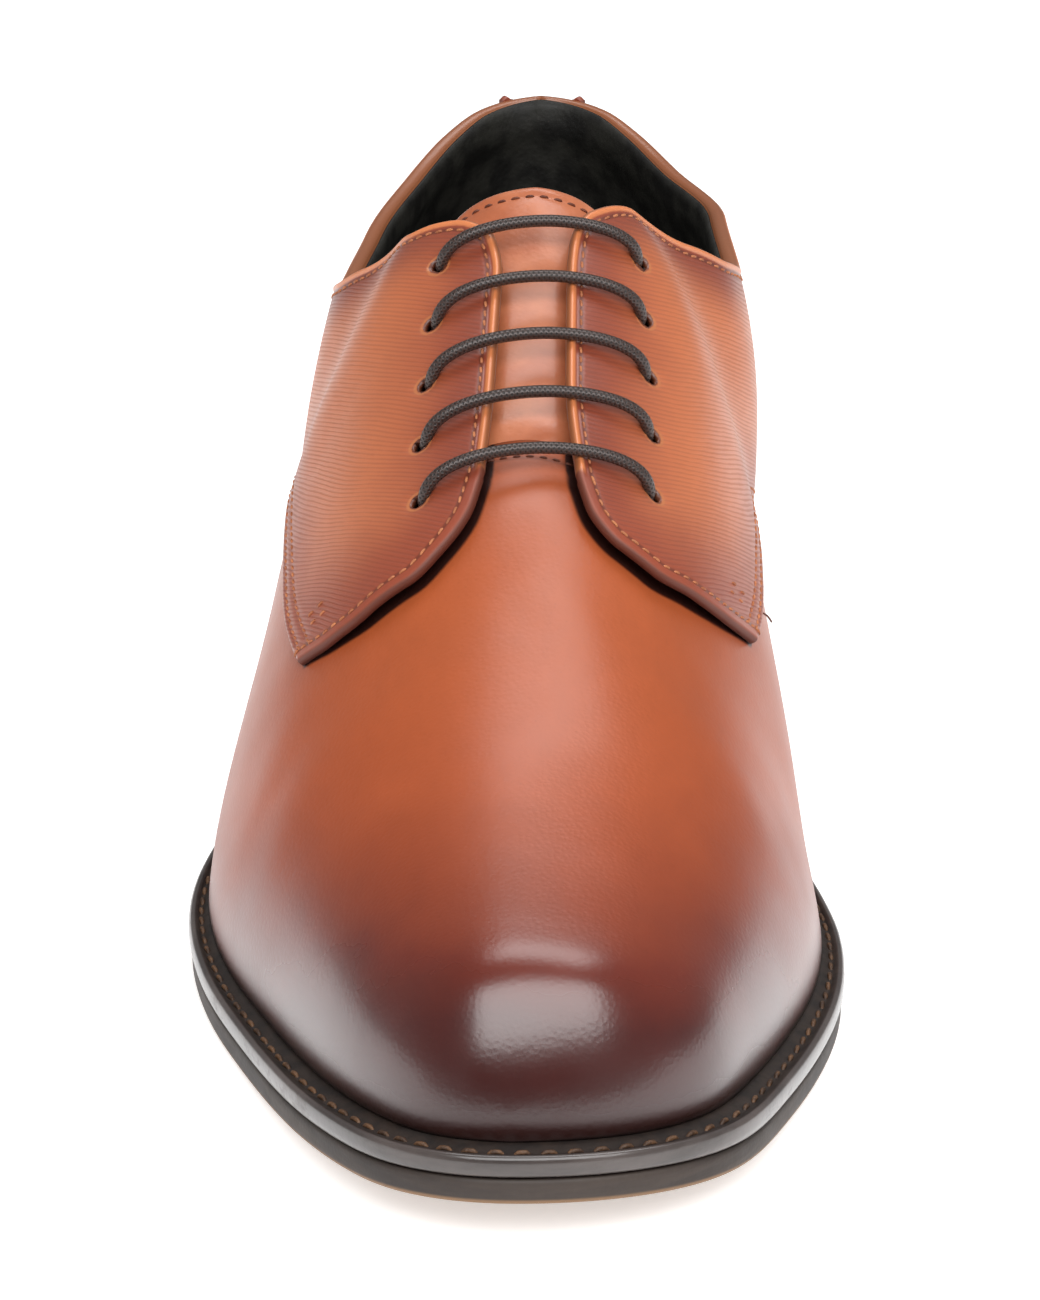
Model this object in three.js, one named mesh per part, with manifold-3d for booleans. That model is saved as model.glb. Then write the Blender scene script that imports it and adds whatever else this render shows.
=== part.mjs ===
// Plain toe derby shoe, right foot, stitched welt, five bars of round lace.
// Millimetres, +Z up, toe towards -Y, inner (medial) side of the foot towards +X.
import * as THREE from 'three';
import Module from 'manifold-3d';

const wasm = await Module();
wasm.setup();

// driving sizes
const soleLength = 308;
const ballWidth = 110;
const heelLift = 26;
const instepHeight = 118;
const outsoleThick = 4.3;
const weltThick = 3.7;
const weltReach = 6.8;
const topLiftThick = 5.5;
const heelInset = { top: 1.2, middle: 2.0, foot: 2.6 };
const wallThick = 2.0;
const quarterThick = 1.6;
const stripThick = 1.0;
const tongueThick = 1.7;
const insoleThick = 2.4;
const laceDiameter = 2.1;
const eyeletDiameter = 4.4;
const clearance = 0.3;
const laceClearance = 0.6;
const bond = 1.3;

// how far the flap of a facing stands off the vamp, so that the lace passes beneath it
const tongueDrop = 1.6;
const flapLift = laceDiameter + 2 * laceClearance - tongueDrop;
const laceUnder = laceDiameter / 2 + laceClearance - tongueDrop;
const laceOver = flapLift + quarterThick + laceClearance + laceDiameter / 2;
const laceBend = 2.0;

// mesh density
const soleColumns = 34;
const upperColumns = 44;
const upperRows = 8;
const quarterColumns = 27;
const quarterRows = [0, 0.16, 0.30, 0.38, 0.46, 0.54, 0.62, 0.72, 0.86, 1];
const laceSides = 8;

// plan of the sole: at is a share of the length, mid and half are shares of the ball width
const OUTLINE = {
  columns: ['at', 'mid', 'half'],
  rows: [
    [0.000, 0.017, 0.000],
    [0.020, 0.040, 0.185],
    [0.060, 0.053, 0.286],
    [0.120, 0.045, 0.359],
    [0.200, 0.034, 0.430],
    [0.280, 0.017, 0.482],
    [0.350, -0.002, 0.497],
    [0.410, -0.018, 0.480],
    [0.480, -0.029, 0.425],
    [0.560, -0.029, 0.360],
    [0.650, -0.018, 0.320],
    [0.750, -0.005, 0.320],
    [0.850, 0.000, 0.327],
    [0.930, 0.000, 0.287],
    [0.980, 0.000, 0.178],
    [1.000, 0.000, 0.000],
  ],
};

// underside of the outsole: toe spring, tread, arch and heel seat, as shares of the heel lift
const LIFT = {
  columns: ['at', 'lift'],
  rows: [
    [0.00, 0.285],
    [0.05, 0.204],
    [0.12, 0.108],
    [0.20, 0.036],
    [0.28, 0.000],
    [0.37, 0.000],
    [0.46, 0.085],
    [0.55, 0.308],
    [0.64, 0.577],
    [0.72, 0.785],
    [0.80, 0.908],
    [0.90, 0.977],
    [1.00, 1.000],
  ],
};

// how far the sole stands out beyond the upper, as shares of the welt's reach at the toe
const MARGIN = {
  columns: ['at', 'reach'],
  rows: [
    [0.00, 1.00],
    [0.12, 0.79],
    [0.22, 0.68],
    [0.32, 0.53],
    [0.42, 0.47],
    [0.55, 0.50],
    [0.70, 0.50],
    [0.85, 0.53],
    [1.00, 0.62],
  ],
};

// ribs of the last, from the welt up to the ridge or the ankle.
// top is a share of the instep height, rake of the length, crown is in degrees,
// brow and side are shares of the rib's own width and height, the others of the ball width
const RIBS = {
  columns: ['at', 'top', 'rake', 'crown', 'brow', 'side', 'leanOut', 'leanIn', 'gapOut', 'gapIn', 'ridge'],
  rows: [
    [0.000, 0.151, 0.000, 0, 0.60, 0.62, 0.000, 0.000, 0.000, 0.000, 0.017],
    [0.022, 0.284, 0.000, 0, 0.60, 0.62, 0.014, 0.014, 0.000, 0.000, 0.027],
    [0.045, 0.331, 0.000, 0, 0.60, 0.60, 0.018, 0.018, 0.000, 0.000, 0.036],
    [0.080, 0.364, 0.000, 0, 0.60, 0.58, 0.023, 0.023, 0.000, 0.000, 0.042],
    [0.140, 0.403, 0.000, 0, 0.58, 0.54, 0.018, 0.018, 0.000, 0.000, 0.042],
    [0.220, 0.462, 0.000, 0, 0.55, 0.47, 0.009, 0.005, 0.000, 0.000, 0.036],
    [0.300, 0.555, 0.000, 0, 0.50, 0.40, -0.005, -0.014, 0.000, 0.000, 0.027],
    [0.380, 0.668, 0.000, 0, 0.48, 0.36, -0.005, 0.006, 0.000, 0.000, 0.018],
    [0.440, 0.749, 0.019, 0, 0.50, 0.38, 0.025, 0.092, 0.000, 0.000, 0.015],
    [0.500, 0.864, 0.052, 0, 0.50, 0.42, 0.070, 0.160, 0.000, 0.000, 0.015],
    [0.560, 0.984, 0.071, 5, 0.46, 0.44, 0.118, 0.192, 0.000, 0.000, 0.015],
    [0.630, 1.008, 0.084, 50, 0.40, 0.44, 0.100, 0.178, 0.145, 0.155, 0.009],
    [0.710, 0.949, 0.065, 84, 0.36, 0.44, 0.086, 0.148, 0.250, 0.272, 0.005],
    [0.800, 0.907, 0.032, 90, 0.34, 0.44, 0.068, 0.100, 0.238, 0.283, 0.000],
    [0.900, 0.898, 0.000, 93, 0.34, 0.44, 0.045, 0.050, 0.186, 0.206, 0.000],
    [1.000, 0.898, -0.013, 97, 0.34, 0.44, 0.018, 0.018, 0.000, 0.000, 0.000],
  ],
};

// upper edge of the quarters, by turn round the sole and share of the rib: facing, then topline
const RIM = {
  columns: ['turn', 'outer', 'inner'],
  rows: [
    [0.436, 0.917, 0.897],
    [0.470, 0.930, 0.918],
    [0.500, 0.932, 0.914],
    [0.512, 0.910, 0.902],
    [0.520, 0.852, 0.872],
    [0.527, 0.780, 0.825],
    [0.535, 0.712, 0.775],
    [0.548, 0.658, 0.708],
    [0.565, 0.612, 0.652],
    [0.585, 0.592, 0.630],
    [0.605, 0.599, 0.642],
    [0.630, 0.618, 0.670],
    [0.660, 0.642, 0.698],
    [0.700, 0.667, 0.725],
    [0.750, 0.705, 0.745],
    [0.800, 0.752, 0.772],
    [0.850, 0.810, 0.817],
    [0.900, 0.850, 0.853],
    [1.000, 0.873, 0.873],
  ],
};

// a quarter's columns: where each starts on the lower seam and ends on the rim
const SEAM = {
  columns: ['along', 'rimTurn', 'outerTurn', 'outerShare', 'innerTurn', 'innerShare'],
  rows: [
    [0.00, 0.436, 0.419, 0.486, 0.449, 0.424],
    [0.10, 0.470, 0.445, 0.450, 0.470, 0.395],
    [0.18, 0.500, 0.472, 0.415, 0.493, 0.365],
    [0.22, 0.512, 0.485, 0.395, 0.505, 0.345],
    [0.26, 0.520, 0.500, 0.370, 0.518, 0.326],
    [0.32, 0.535, 0.527, 0.330, 0.543, 0.290],
    [0.37, 0.548, 0.550, 0.300, 0.562, 0.258],
    [0.43, 0.565, 0.580, 0.240, 0.590, 0.210],
    [0.49, 0.585, 0.612, 0.170, 0.620, 0.152],
    [0.55, 0.605, 0.645, 0.100, 0.650, 0.090],
    [0.62, 0.636, 0.685, 0.020, 0.690, 0.020],
    [0.68, 0.660, 0.720, 0.006, 0.720, 0.006],
    [0.78, 0.725, 0.790, 0.006, 0.790, 0.006],
    [0.88, 0.810, 0.865, 0.006, 0.865, 0.006],
    [0.95, 0.900, 0.935, 0.006, 0.935, 0.006],
    [1.00, 1.000, 1.000, 0.006, 1.000, 0.006],
  ],
};

// a quarter's front edge, from its lower corner up to the facing
const FRONT = {
  columns: ['up', 'outerTurn', 'outerShare', 'innerTurn', 'innerShare'],
  rows: [
    [0.00, 0.419, 0.486, 0.449, 0.424],
    [0.16, 0.408, 0.575, 0.433, 0.526],
    [0.32, 0.403, 0.664, 0.422, 0.617],
    [0.50, 0.403, 0.758, 0.414, 0.720],
    [0.68, 0.410, 0.834, 0.415, 0.802],
    [0.84, 0.421, 0.888, 0.422, 0.862],
    [1.00, 0.436, 0.917, 0.436, 0.897],
  ],
};

// eyelets from the vamp up, by turn; their share of the rib is one value a side
const EYELETS = {
  columns: ['outerTurn', 'innerTurn'],
  rows: [
    [0.435, 0.447],
    [0.457, 0.469],
    [0.477, 0.487],
    [0.495, 0.505],
    [0.513, 0.522],
  ],
};
const eyeletShareOut = 0.786;
const eyeletShareIn = 0.724;
const flapRamp = 0.068;
const flapMargin = 0.034;

// the tongue: its length in turns, its side edges as shares of the rib
const TONGUE = {
  columns: ['up', 'turn', 'edge', 'drop'],
  rows: [
    [0.00, 0.422, 0.800, 1.00],
    [0.24, 0.449, 0.770, 1.00],
    [0.34, 0.462, 0.762, 0.00],
    [0.56, 0.485, 0.750, 0.00],
    [0.80, 0.512, 0.735, 0.00],
    [1.00, 0.530, 0.725, 0.00],
  ],
};
const tongueWrap = 0.018;
const tongueRound = 0.014;

// rear edge of the vamp: it meets the tongue between the facings, and is cut back under them
const throatAt = 0.425;
const cutBack = 0.040;
const throatHalf = 0.36;

function natural(xs, ys) {
  const n = xs.length;
  const bend = new Array(n).fill(0);
  const pivot = new Array(n).fill(0);
  const load = new Array(n).fill(0);
  for (let i = 1; i < n - 1; i++) {
    const before = xs[i] - xs[i - 1];
    const after = xs[i + 1] - xs[i];
    const rate = (ys[i + 1] - ys[i]) / after - (ys[i] - ys[i - 1]) / before;
    const weight = 2 * (before + after) - before * pivot[i - 1];
    pivot[i] = after / weight;
    load[i] = (6 * rate - before * load[i - 1]) / weight;
  }
  for (let i = n - 2; i > 0; i--) {
    bend[i] = load[i] - pivot[i] * bend[i + 1];
  }
  return (x) => {
    const at = Math.min(Math.max(x, xs[0]), xs[n - 1]);
    let k = 0;
    while (k < n - 2 && at > xs[k + 1]) k++;
    const span = xs[k + 1] - xs[k];
    const d = at - xs[k];
    const slope = (ys[k + 1] - ys[k]) / span - span * (2 * bend[k] + bend[k + 1]) / 6;
    return ys[k] + d * slope + d * d * bend[k] / 2 + d ** 3 * (bend[k + 1] - bend[k]) / (6 * span);
  };
}

function eased(xs, ys) {
  const n = xs.length;
  const step = [];
  for (let i = 0; i < n - 1; i++) step.push((ys[i + 1] - ys[i]) / (xs[i + 1] - xs[i]));
  const slope = new Array(n).fill(0);
  for (let i = 1; i < n - 1; i++) {
    if (step[i - 1] * step[i] <= 0) continue;
    const before = xs[i] - xs[i - 1];
    const after = xs[i + 1] - xs[i];
    const first = 2 * after + before;
    const second = after + 2 * before;
    slope[i] = (first + second) / (first / step[i - 1] + second / step[i]);
  }
  slope[0] = step[0];
  slope[n - 1] = step[n - 2];
  return (x) => {
    const at = Math.min(Math.max(x, xs[0]), xs[n - 1]);
    let k = 0;
    while (k < n - 2 && at > xs[k + 1]) k++;
    const span = xs[k + 1] - xs[k];
    const u = (at - xs[k]) / span;
    const rise = u * u * (3 - 2 * u);
    const lead = u * (1 - u) * (1 - u) * span * slope[k];
    const tail = -u * u * (1 - u) * span * slope[k + 1];
    return ys[k] + (ys[k + 1] - ys[k]) * rise + lead + tail;
  };
}

// share of the length and turn round the sole: the turn runs evenly round both ends
const turnOf = (share) => Math.acos(1 - 2 * share) / Math.PI;
const shareOf = (turn) => (1 - Math.cos(Math.PI * turn)) / 2;
const smooth = (x) => {
  const u = Math.min(Math.max(x, 0), 1);
  return u * u * (3 - 2 * u);
};

function curve(table, name, kind = eased, key = (x) => x) {
  const at = table.rows.map((row) => key(row[0]));
  const values = table.rows.map((row) => row[table.columns.indexOf(name)]);
  return kind(at, values);
}

const midLine = curve(OUTLINE, 'mid', natural, turnOf);
const halfWidth = curve(OUTLINE, 'half', natural, turnOf);
const liftAt = curve(LIFT, 'lift');
const marginAt = curve(MARGIN, 'reach', natural);
const ribTop = curve(RIBS, 'top', eased, turnOf);
const ribRake = curve(RIBS, 'rake', eased, turnOf);
const ribCrown = curve(RIBS, 'crown', eased, turnOf);
const ribBrow = curve(RIBS, 'brow', natural, turnOf);
const ribSide = curve(RIBS, 'side', natural, turnOf);
const ribRidge = curve(RIBS, 'ridge', eased, turnOf);
const ribLean = {
  '-1': curve(RIBS, 'leanOut', natural, turnOf),
  1: curve(RIBS, 'leanIn', natural, turnOf),
};
const ribGap = {
  '-1': curve(RIBS, 'gapOut', eased, turnOf),
  1: curve(RIBS, 'gapIn', eased, turnOf),
};
const rimShare = { '-1': curve(RIM, 'outer'), 1: curve(RIM, 'inner') };
const ridgeEnd = turnOf(0.56) - 0.012;

// a runs round the sole: toe 0, inner side 0 to 1, heel 1, outer side 1 to 2
function sideOf(a) {
  const turn = ((a % 2) + 2) % 2;
  return turn <= 1 ? { turn, side: 1 } : { turn: 2 - turn, side: -1 };
}

const underside = (share) => heelLift * liftAt(share);

function edge(a, inset, height) {
  const nudge = 1e-3;
  const point = (b) => {
    const { turn, side } = sideOf(b);
    const x = ballWidth * (midLine(turn) + side * halfWidth(turn));
    return new THREE.Vector2(x, soleLength * (shareOf(turn) - 0.5));
  };
  const along = point(a + nudge).sub(point(a - nudge)).normalize();
  const here = point(a);
  const flat = new THREE.Vector2(here.x - inset * along.y, here.y + inset * along.x);
  const share = flat.y / soleLength + 0.5;
  return new THREE.Vector3(flat.x, flat.y, underside(share) + height);
}

function outward(a) {
  const away = edge(a, 0, 0).sub(edge(a, 1, 0));
  return new THREE.Vector3(away.x, away.y, 0).normalize();
}

const featherLine = outsoleThick + weltThick + 2 * clearance;
const marginOf = (a) => weltReach * marginAt(shareOf(sideOf(a).turn));
const feather = (a, inset = 0, height = featherLine) => edge(a, marginOf(a) + inset, height);

function lastPoint(a, v) {
  let around = ((a % 2) + 2) % 2;
  let rise = Math.max(v, 0);
  if (rise > 1 && sideOf(around).turn < ridgeEnd) {
    around = 2 - around;
    rise = 2 - rise;
  }
  rise = Math.min(rise, 1);
  const { turn, side } = sideOf(around);
  const share = shareOf(turn);
  const foot = feather(around);
  const top = new THREE.Vector3(
    ballWidth * (ribRidge(turn) + side * ribGap[side](turn)),
    (foot.y + feather(2 - around).y) / 2 + soleLength * ribRake(turn),
    instepHeight * ribTop(turn),
  );
  const fan = smooth((share - 0.62) / 0.2);
  const out = new THREE.Vector3(side, 0, 0).multiplyScalar(1 - fan);
  out.addScaledVector(outward(around), fan).normalize();
  const up = new THREE.Vector3(0, 0, 1);
  const height = top.z - foot.z;
  const width = Math.abs(top.clone().sub(foot).dot(out));
  const crown = THREE.MathUtils.degToRad(ribCrown(turn));
  const lean = ballWidth * ribLean[side](turn) * Math.min(Math.max(height / 30, 0), 1);
  const reach = ribBrow(turn) * (width * Math.cos(crown) ** 2 + height * Math.sin(crown) ** 2);
  const low = foot.clone().addScaledVector(up, ribSide(turn) * height).addScaledVector(out, lean);
  const high = top.clone();
  high.addScaledVector(out, reach * Math.cos(crown)).addScaledVector(up, -reach * Math.sin(crown));
  const rest = 1 - rise;
  const point = foot.clone().multiplyScalar(rest ** 3);
  point.addScaledVector(low, 3 * rest * rest * rise);
  point.addScaledVector(high, 3 * rest * rise * rise);
  return point.addScaledVector(top, rise ** 3);
}

function normalAt(a, v) {
  const nudge = 2e-3;
  const around = lastPoint(a + nudge, v).sub(lastPoint(a - nudge, v));
  const rise = lastPoint(a, v + nudge).sub(lastPoint(a, v - nudge));
  return around.cross(rise).normalize();
}

// a point at a distance off the last, level with the welt where the rib starts
function skin(a, v, off) {
  const point = lastPoint(a, v).addScaledVector(normalAt(a, v), off);
  if (v <= 1e-6) point.z = lastPoint(a, 0).z;
  return point;
}

// one closed body from its points and triangles: equal points are joined, slivers dropped
function bodyOf(points, triangles) {
  const keys = new Map();
  const kept = [];
  const index = points.map((p) => {
    const key = [p.x, p.y, p.z].map((value) => Math.round(value * 2000)).join();
    if (!keys.has(key)) {
      keys.set(key, kept.length);
      kept.push(p);
    }
    return keys.get(key);
  });
  const faces = triangles
    .map((face) => face.map((i) => index[i]))
    .filter(([i, j, k]) => i !== j && j !== k && k !== i);
  const mesh = new wasm.Mesh({
    numProp: 3,
    vertProperties: new Float32Array(kept.flatMap((p) => [p.x, p.y, p.z])),
    triVerts: new Uint32Array(faces.flat()),
  });
  return new wasm.Manifold(mesh);
}

// a body between stacked levels, each a grid over (u, w); only the first and last are filled
function stack(levels, columns, rows) {
  const points = [];
  const triangles = [];
  const quad = (i, j, k, l) => triangles.push([i, j, k], [i, k, l]);
  const grids = levels.map((level) => {
    const start = points.length;
    for (let i = 0; i <= columns; i++) {
      for (let j = 0; j <= rows; j++) points.push(level(i / columns, j / rows));
    }
    return (i, j) => start + i * (rows + 1) + j;
  });
  const bottom = grids[0];
  const top = grids[grids.length - 1];
  for (let i = 0; i < columns; i++) {
    for (let j = 0; j < rows; j++) {
      quad(top(i, j), top(i + 1, j), top(i + 1, j + 1), top(i, j + 1));
      quad(bottom(i, j), bottom(i, j + 1), bottom(i + 1, j + 1), bottom(i + 1, j));
    }
  }
  const border = [];
  for (let i = 0; i < columns; i++) border.push([i, 0]);
  for (let j = 0; j < rows; j++) border.push([columns, j]);
  for (let i = columns; i > 0; i--) border.push([i, rows]);
  for (let j = rows; j > 0; j--) border.push([0, j]);
  for (let level = 0; level < grids.length - 1; level++) {
    border.forEach(([i, j], n) => {
      const [k, l] = border[(n + 1) % border.length];
      quad(grids[level](i, j), grids[level](k, l), grids[level + 1](k, l), grids[level + 1](i, j));
    });
  }
  return bodyOf(points, triangles);
}

// a ring round the shoe: each point of the profile is a function of the turn
function ring(profile, columns) {
  const points = [];
  const triangles = [];
  const rows = profile.length;
  for (let i = 0; i < columns; i++) {
    profile.forEach((point) => points.push(point(2 * i / columns)));
  }
  const at = (i, j) => (i % columns) * rows + (j % rows);
  for (let i = 0; i < columns; i++) {
    for (let j = 0; j < rows; j++) {
      triangles.push([at(i, j), at(i + 1, j), at(i + 1, j + 1)]);
      triangles.push([at(i, j), at(i + 1, j + 1), at(i, j + 1)]);
    }
  }
  return bodyOf(points, triangles);
}

// a round cord along a path
function cord(path, radius, sides) {
  const points = [];
  const triangles = [];
  const last = path.length - 1;
  let across = new THREE.Vector3(0.31, 0.87, 0.39);
  path.forEach((here, i) => {
    const along = path[Math.min(i + 1, last)].clone().sub(path[Math.max(i - 1, 0)]).normalize();
    across = across.clone().addScaledVector(along, -across.dot(along)).normalize();
    const third = along.clone().cross(across);
    for (let j = 0; j < sides; j++) {
      const angle = 2 * Math.PI * j / sides;
      const spoke = across.clone().multiplyScalar(radius * Math.cos(angle));
      points.push(here.clone().add(spoke).addScaledVector(third, radius * Math.sin(angle)));
    }
  });
  for (let i = 0; i < last; i++) {
    for (let j = 0; j < sides; j++) {
      const k = (j + 1) % sides;
      triangles.push([i * sides + j, i * sides + k, (i + 1) * sides + k]);
      triangles.push([i * sides + j, (i + 1) * sides + k, (i + 1) * sides + j]);
    }
  }
  for (let j = 1; j < sides - 1; j++) {
    triangles.push([0, j + 1, j], [last * sides, last * sides + j, last * sides + j + 1]);
  }
  return bodyOf(points, triangles);
}

// a path whose corners are rounded by a bend radius
function rounded(corners, radius, steps) {
  const path = [corners[0]];
  for (let i = 1; i < corners.length - 1; i++) {
    const back = corners[i - 1].clone().sub(corners[i]);
    const on = corners[i + 1].clone().sub(corners[i]);
    const reach = Math.min(radius, back.length() * 0.49, on.length() * 0.49);
    const sharp = back.angleTo(on);
    if (sharp > 2.7) {
      path.push(corners[i]);
      continue;
    }
    const start = corners[i].clone().addScaledVector(back.normalize(), reach);
    const end = corners[i].clone().addScaledVector(on.normalize(), reach);
    for (let k = 0; k <= steps; k++) {
      const u = k / steps;
      const point = start.clone().multiplyScalar((1 - u) ** 2);
      point.addScaledVector(corners[i], 2 * u * (1 - u)).addScaledVector(end, u * u);
      path.push(point);
    }
  }
  path.push(corners[corners.length - 1]);
  return path;
}

// sole parts: a plank lies between two heights over the underside, its side has its own profile
function plank(profile, from, to, columns, rows) {
  const levels = profile.map(([inset, height]) => (u, w) => {
    const turn = from + (to - from) * u;
    const outer = edge(2 - turn, inset, 0);
    const inner = edge(turn, inset, 0);
    const point = outer.lerp(inner, 1 - w);
    const share = point.y / soleLength + 0.5;
    point.z = height(share);
    return point;
  });
  return stack(levels, columns, rows);
}

const over = (height) => (share) => underside(share) + height;

const outsole = plank([
  [1.6, over(0)],
  [0.5, over(0.22 * outsoleThick)],
  [0.5, over(0.72 * outsoleThick)],
  [1.1, over(outsoleThick)],
], 0, 1, soleColumns, 4);

const weltLow = outsoleThick + clearance;
const weltHigh = weltLow + weltThick;
const weltInner = wallThick;
const welt = ring([
  (a) => feather(a, weltInner, weltLow),
  (a) => edge(a, 0.9, weltLow),
  (a) => edge(a, 0, weltLow + 0.25 * weltThick),
  (a) => edge(a, 0, weltLow + 0.75 * weltThick),
  (a) => edge(a, 0.7, weltHigh),
  (a) => feather(a, weltInner, weltHigh),
], 2 * soleColumns);

const insoleInset = (turn) => marginOf(turn) + wallThick + 2 * clearance;
const insoleLevel = (height, shrink) => (u, w) => {
  const turn = u;
  const outer = edge(2 - turn, insoleInset(2 - turn) + shrink, 0);
  const inner = edge(turn, insoleInset(turn) + shrink, 0);
  const point = outer.lerp(inner, 1 - w);
  point.z = underside(point.y / soleLength + 0.5) + height;
  return point;
};
const insoleLow = outsoleThick + clearance;
const insole = stack([
  insoleLevel(insoleLow, 0),
  insoleLevel(weltHigh + clearance + insoleThick, 0.4),
], soleColumns, 4);

// the heel: a block under the heel seat with a hollowed breast, and its wearing piece
const breastAt = 0.735;
const breastHollow = 4.5;
function heelLevel(inset, height, advance) {
  const start = turnOf(breastAt) + advance;
  return (u, w) => {
    const turn = start + (1 - start) * u;
    const outer = edge(2 - turn, inset, 0);
    const inner = edge(turn, inset, 0);
    const point = outer.lerp(inner, 1 - w);
    point.y += breastHollow * (1 - u) ** 2 * (1 - (2 * w - 1) ** 2);
    point.z = height(point.y / soleLength + 0.5);
    return point;
  };
}
const heelStack = stack([
  heelLevel(heelInset.middle, () => topLiftThick + clearance, 0.006),
  heelLevel(heelInset.top, (share) => underside(share) - clearance, 0),
], 16, 6);
const heelTopLift = stack([
  heelLevel(heelInset.foot, () => 0, 0.010),
  heelLevel(heelInset.middle, () => 0.15 * topLiftThick, 0.008),
  heelLevel(heelInset.middle, () => topLiftThick, 0.006),
], 16, 6);

// the upper's wall: closed over the ridge, open from the throat to the heel
function rimOf(a) {
  const { turn, side } = sideOf(a);
  const blend = smooth((turn - 0.5) / 0.02);
  return 1 + (rimShare[side](turn) - 1) * blend;
}

function shell() {
  const around = 2 * upperColumns;
  const points = [];
  const triangles = [];
  const index = [];
  const sheets = [0, -wallThick].map((off) => {
    const start = points.length;
    for (let i = 0; i < around; i++) {
      const a = 2 * i / around;
      for (let j = 0; j <= upperRows; j++) {
        const closed = j === upperRows && rimOf(a) === 1;
        const from = closed && a > 1 ? 2 - a : a;
        points.push(skin(from, rimOf(a) * j / upperRows, off));
      }
    }
    return (i, j) => start + (i % around) * (upperRows + 1) + j;
  });
  const [outer, inner] = sheets;
  const quad = (i, j, k, l) => triangles.push([i, j, k], [i, k, l]);
  for (let i = 0; i < around; i++) {
    for (let j = 0; j < upperRows; j++) {
      quad(outer(i, j), outer(i + 1, j), outer(i + 1, j + 1), outer(i, j + 1));
      quad(inner(i, j), inner(i, j + 1), inner(i + 1, j + 1), inner(i + 1, j));
    }
    quad(outer(i, 0), inner(i, 0), inner(i + 1, 0), outer(i + 1, 0));
    const open = rimOf(2 * i / around) < 1 || rimOf(2 * (i + 1) / around) < 1;
    const top = upperRows;
    if (open) quad(outer(i, top), outer(i + 1, top), inner(i + 1, top), inner(i, top));
  }
  return bodyOf(points, triangles);
}

// turn and share of a point of the quarters; across runs inner front 0, heel 1, outer front 2
const seamOf = (name) => curve(SEAM, name);
const frontOf = (name) => curve(FRONT, name);
const seam = {
  rim: seamOf('rimTurn'),
  '-1': [seamOf('outerTurn'), seamOf('outerShare')],
  1: [seamOf('innerTurn'), seamOf('innerShare')],
};
const front = {
  '-1': [frontOf('outerTurn'), frontOf('outerShare')],
  1: [frontOf('innerTurn'), frontOf('innerShare')],
};

function quarterPoint(across, up) {
  const side = across <= 1 ? 1 : -1;
  const along = across <= 1 ? across : 2 - across;
  const rimTurn = seam.rim(along);
  const high = [rimTurn, rimShare[side](rimTurn)];
  const low = seam[side].map((line) => line(along));
  const fore = front[side].map((line) => line(up));
  const lowFore = seam[side].map((line) => line(0));
  const highFore = [seam.rim(0), rimShare[side](seam.rim(0))];
  const lowAft = seam[side].map((line) => line(1));
  const highAft = [1, rimShare[side](1)];
  const aft = [1, lowAft[1] + up * (highAft[1] - lowAft[1])];
  const [turn, share] = [0, 1].map((n) => {
    const ruled = (1 - up) * low[n] + up * high[n] + (1 - along) * fore[n] + along * aft[n];
    const corners = (1 - along) * ((1 - up) * lowFore[n] + up * highFore[n]);
    return ruled - corners - along * ((1 - up) * lowAft[n] + up * highAft[n]);
  });
  return { a: side > 0 ? turn : 2 - turn, v: share, side };
}

// the flap of a facing rises off the wall beside its eyelets, and settles behind the top one
function flapAt(turn, side, v) {
  const share = side > 0 ? eyeletShareIn : eyeletShareOut;
  const settle = 1 - smooth((turn - 0.537) / 0.025);
  return settle * smooth((v - (share - flapMargin - flapRamp)) / flapRamp);
}

const quarterSheet = (level) => (u, w) => {
  const { a, v, side } = quarterPoint(2 * u, quarterRows[Math.round(w * (quarterRows.length - 1))]);
  const flap = flapAt(sideOf(a).turn, side, v);
  const off = level === 'outer' ? quarterThick + flapLift * flap : (flapLift + bond) * flap - bond;
  return skin(a, v, off);
};
const quarters = stack(
  [quarterSheet('inner'), quarterSheet('outer')],
  2 * quarterColumns,
  quarterRows.length - 1,
);

// the strip up the back of the heel, wider at the collar
const stripSheet = (off) => (u, w) => {
  const half = 0.045 + 0.020 * w;
  return skin(1 + half * (2 * u - 1), w * rimShare[1](1), off);
};
const strip = stack([
  stripSheet(-0.5 * bond),
  stripSheet(quarterThick + stripThick),
], 6, 8);

// the wall is cut away under the facings, where the tongue lies
function throat() {
  const edgeOf = (side, turn) => {
    const share = side > 0 ? eyeletShareIn - flapMargin : eyeletShareOut - flapMargin;
    return lastPoint(side > 0 ? turn : 2 - turn, share);
  };
  const [out, inn] = [-1, 1].map((side) => edgeOf(side, turnOf(throatAt) + 0.004));
  const [outTop, innTop] = [-1, 1].map((side) => edgeOf(side, 0.53));
  const aft = soleLength * (throatAt - 0.5) + 95;
  const sheet = (z) => (u, w) => {
    const back = smooth((Math.abs(2 * w - 1) - throatHalf) / 0.25);
    const fore = soleLength * (throatAt - cutBack * back - 0.5);
    const left = out.x + (outTop.x - out.x) * u;
    const right = inn.x + (innTop.x - inn.x) * u;
    return new THREE.Vector3(right + (left - right) * w, fore + (aft - fore) * u, z);
  };
  return stack([sheet(0.4 * instepHeight), sheet(1.3 * instepHeight)], 1, 12);
}

const eyeletPlaces = EYELETS.rows.map(([outer, inner]) => ({
  outer: [2 - outer, eyeletShareOut],
  inner: [inner, eyeletShareIn],
}));

function hole([a, v]) {
  const start = skin(a, v, flapLift - 0.9);
  const end = skin(a, v, flapLift + quarterThick + 0.9);
  return cord([start, end], eyeletDiameter / 2, 10);
}

let upper = shell().subtract(throat()).add(quarters).add(strip);
eyeletPlaces.forEach(({ outer, inner }) => {
  upper = upper.subtract(hole(outer)).subtract(hole(inner));
});
upper = upper.simplify(0.03);

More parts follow.
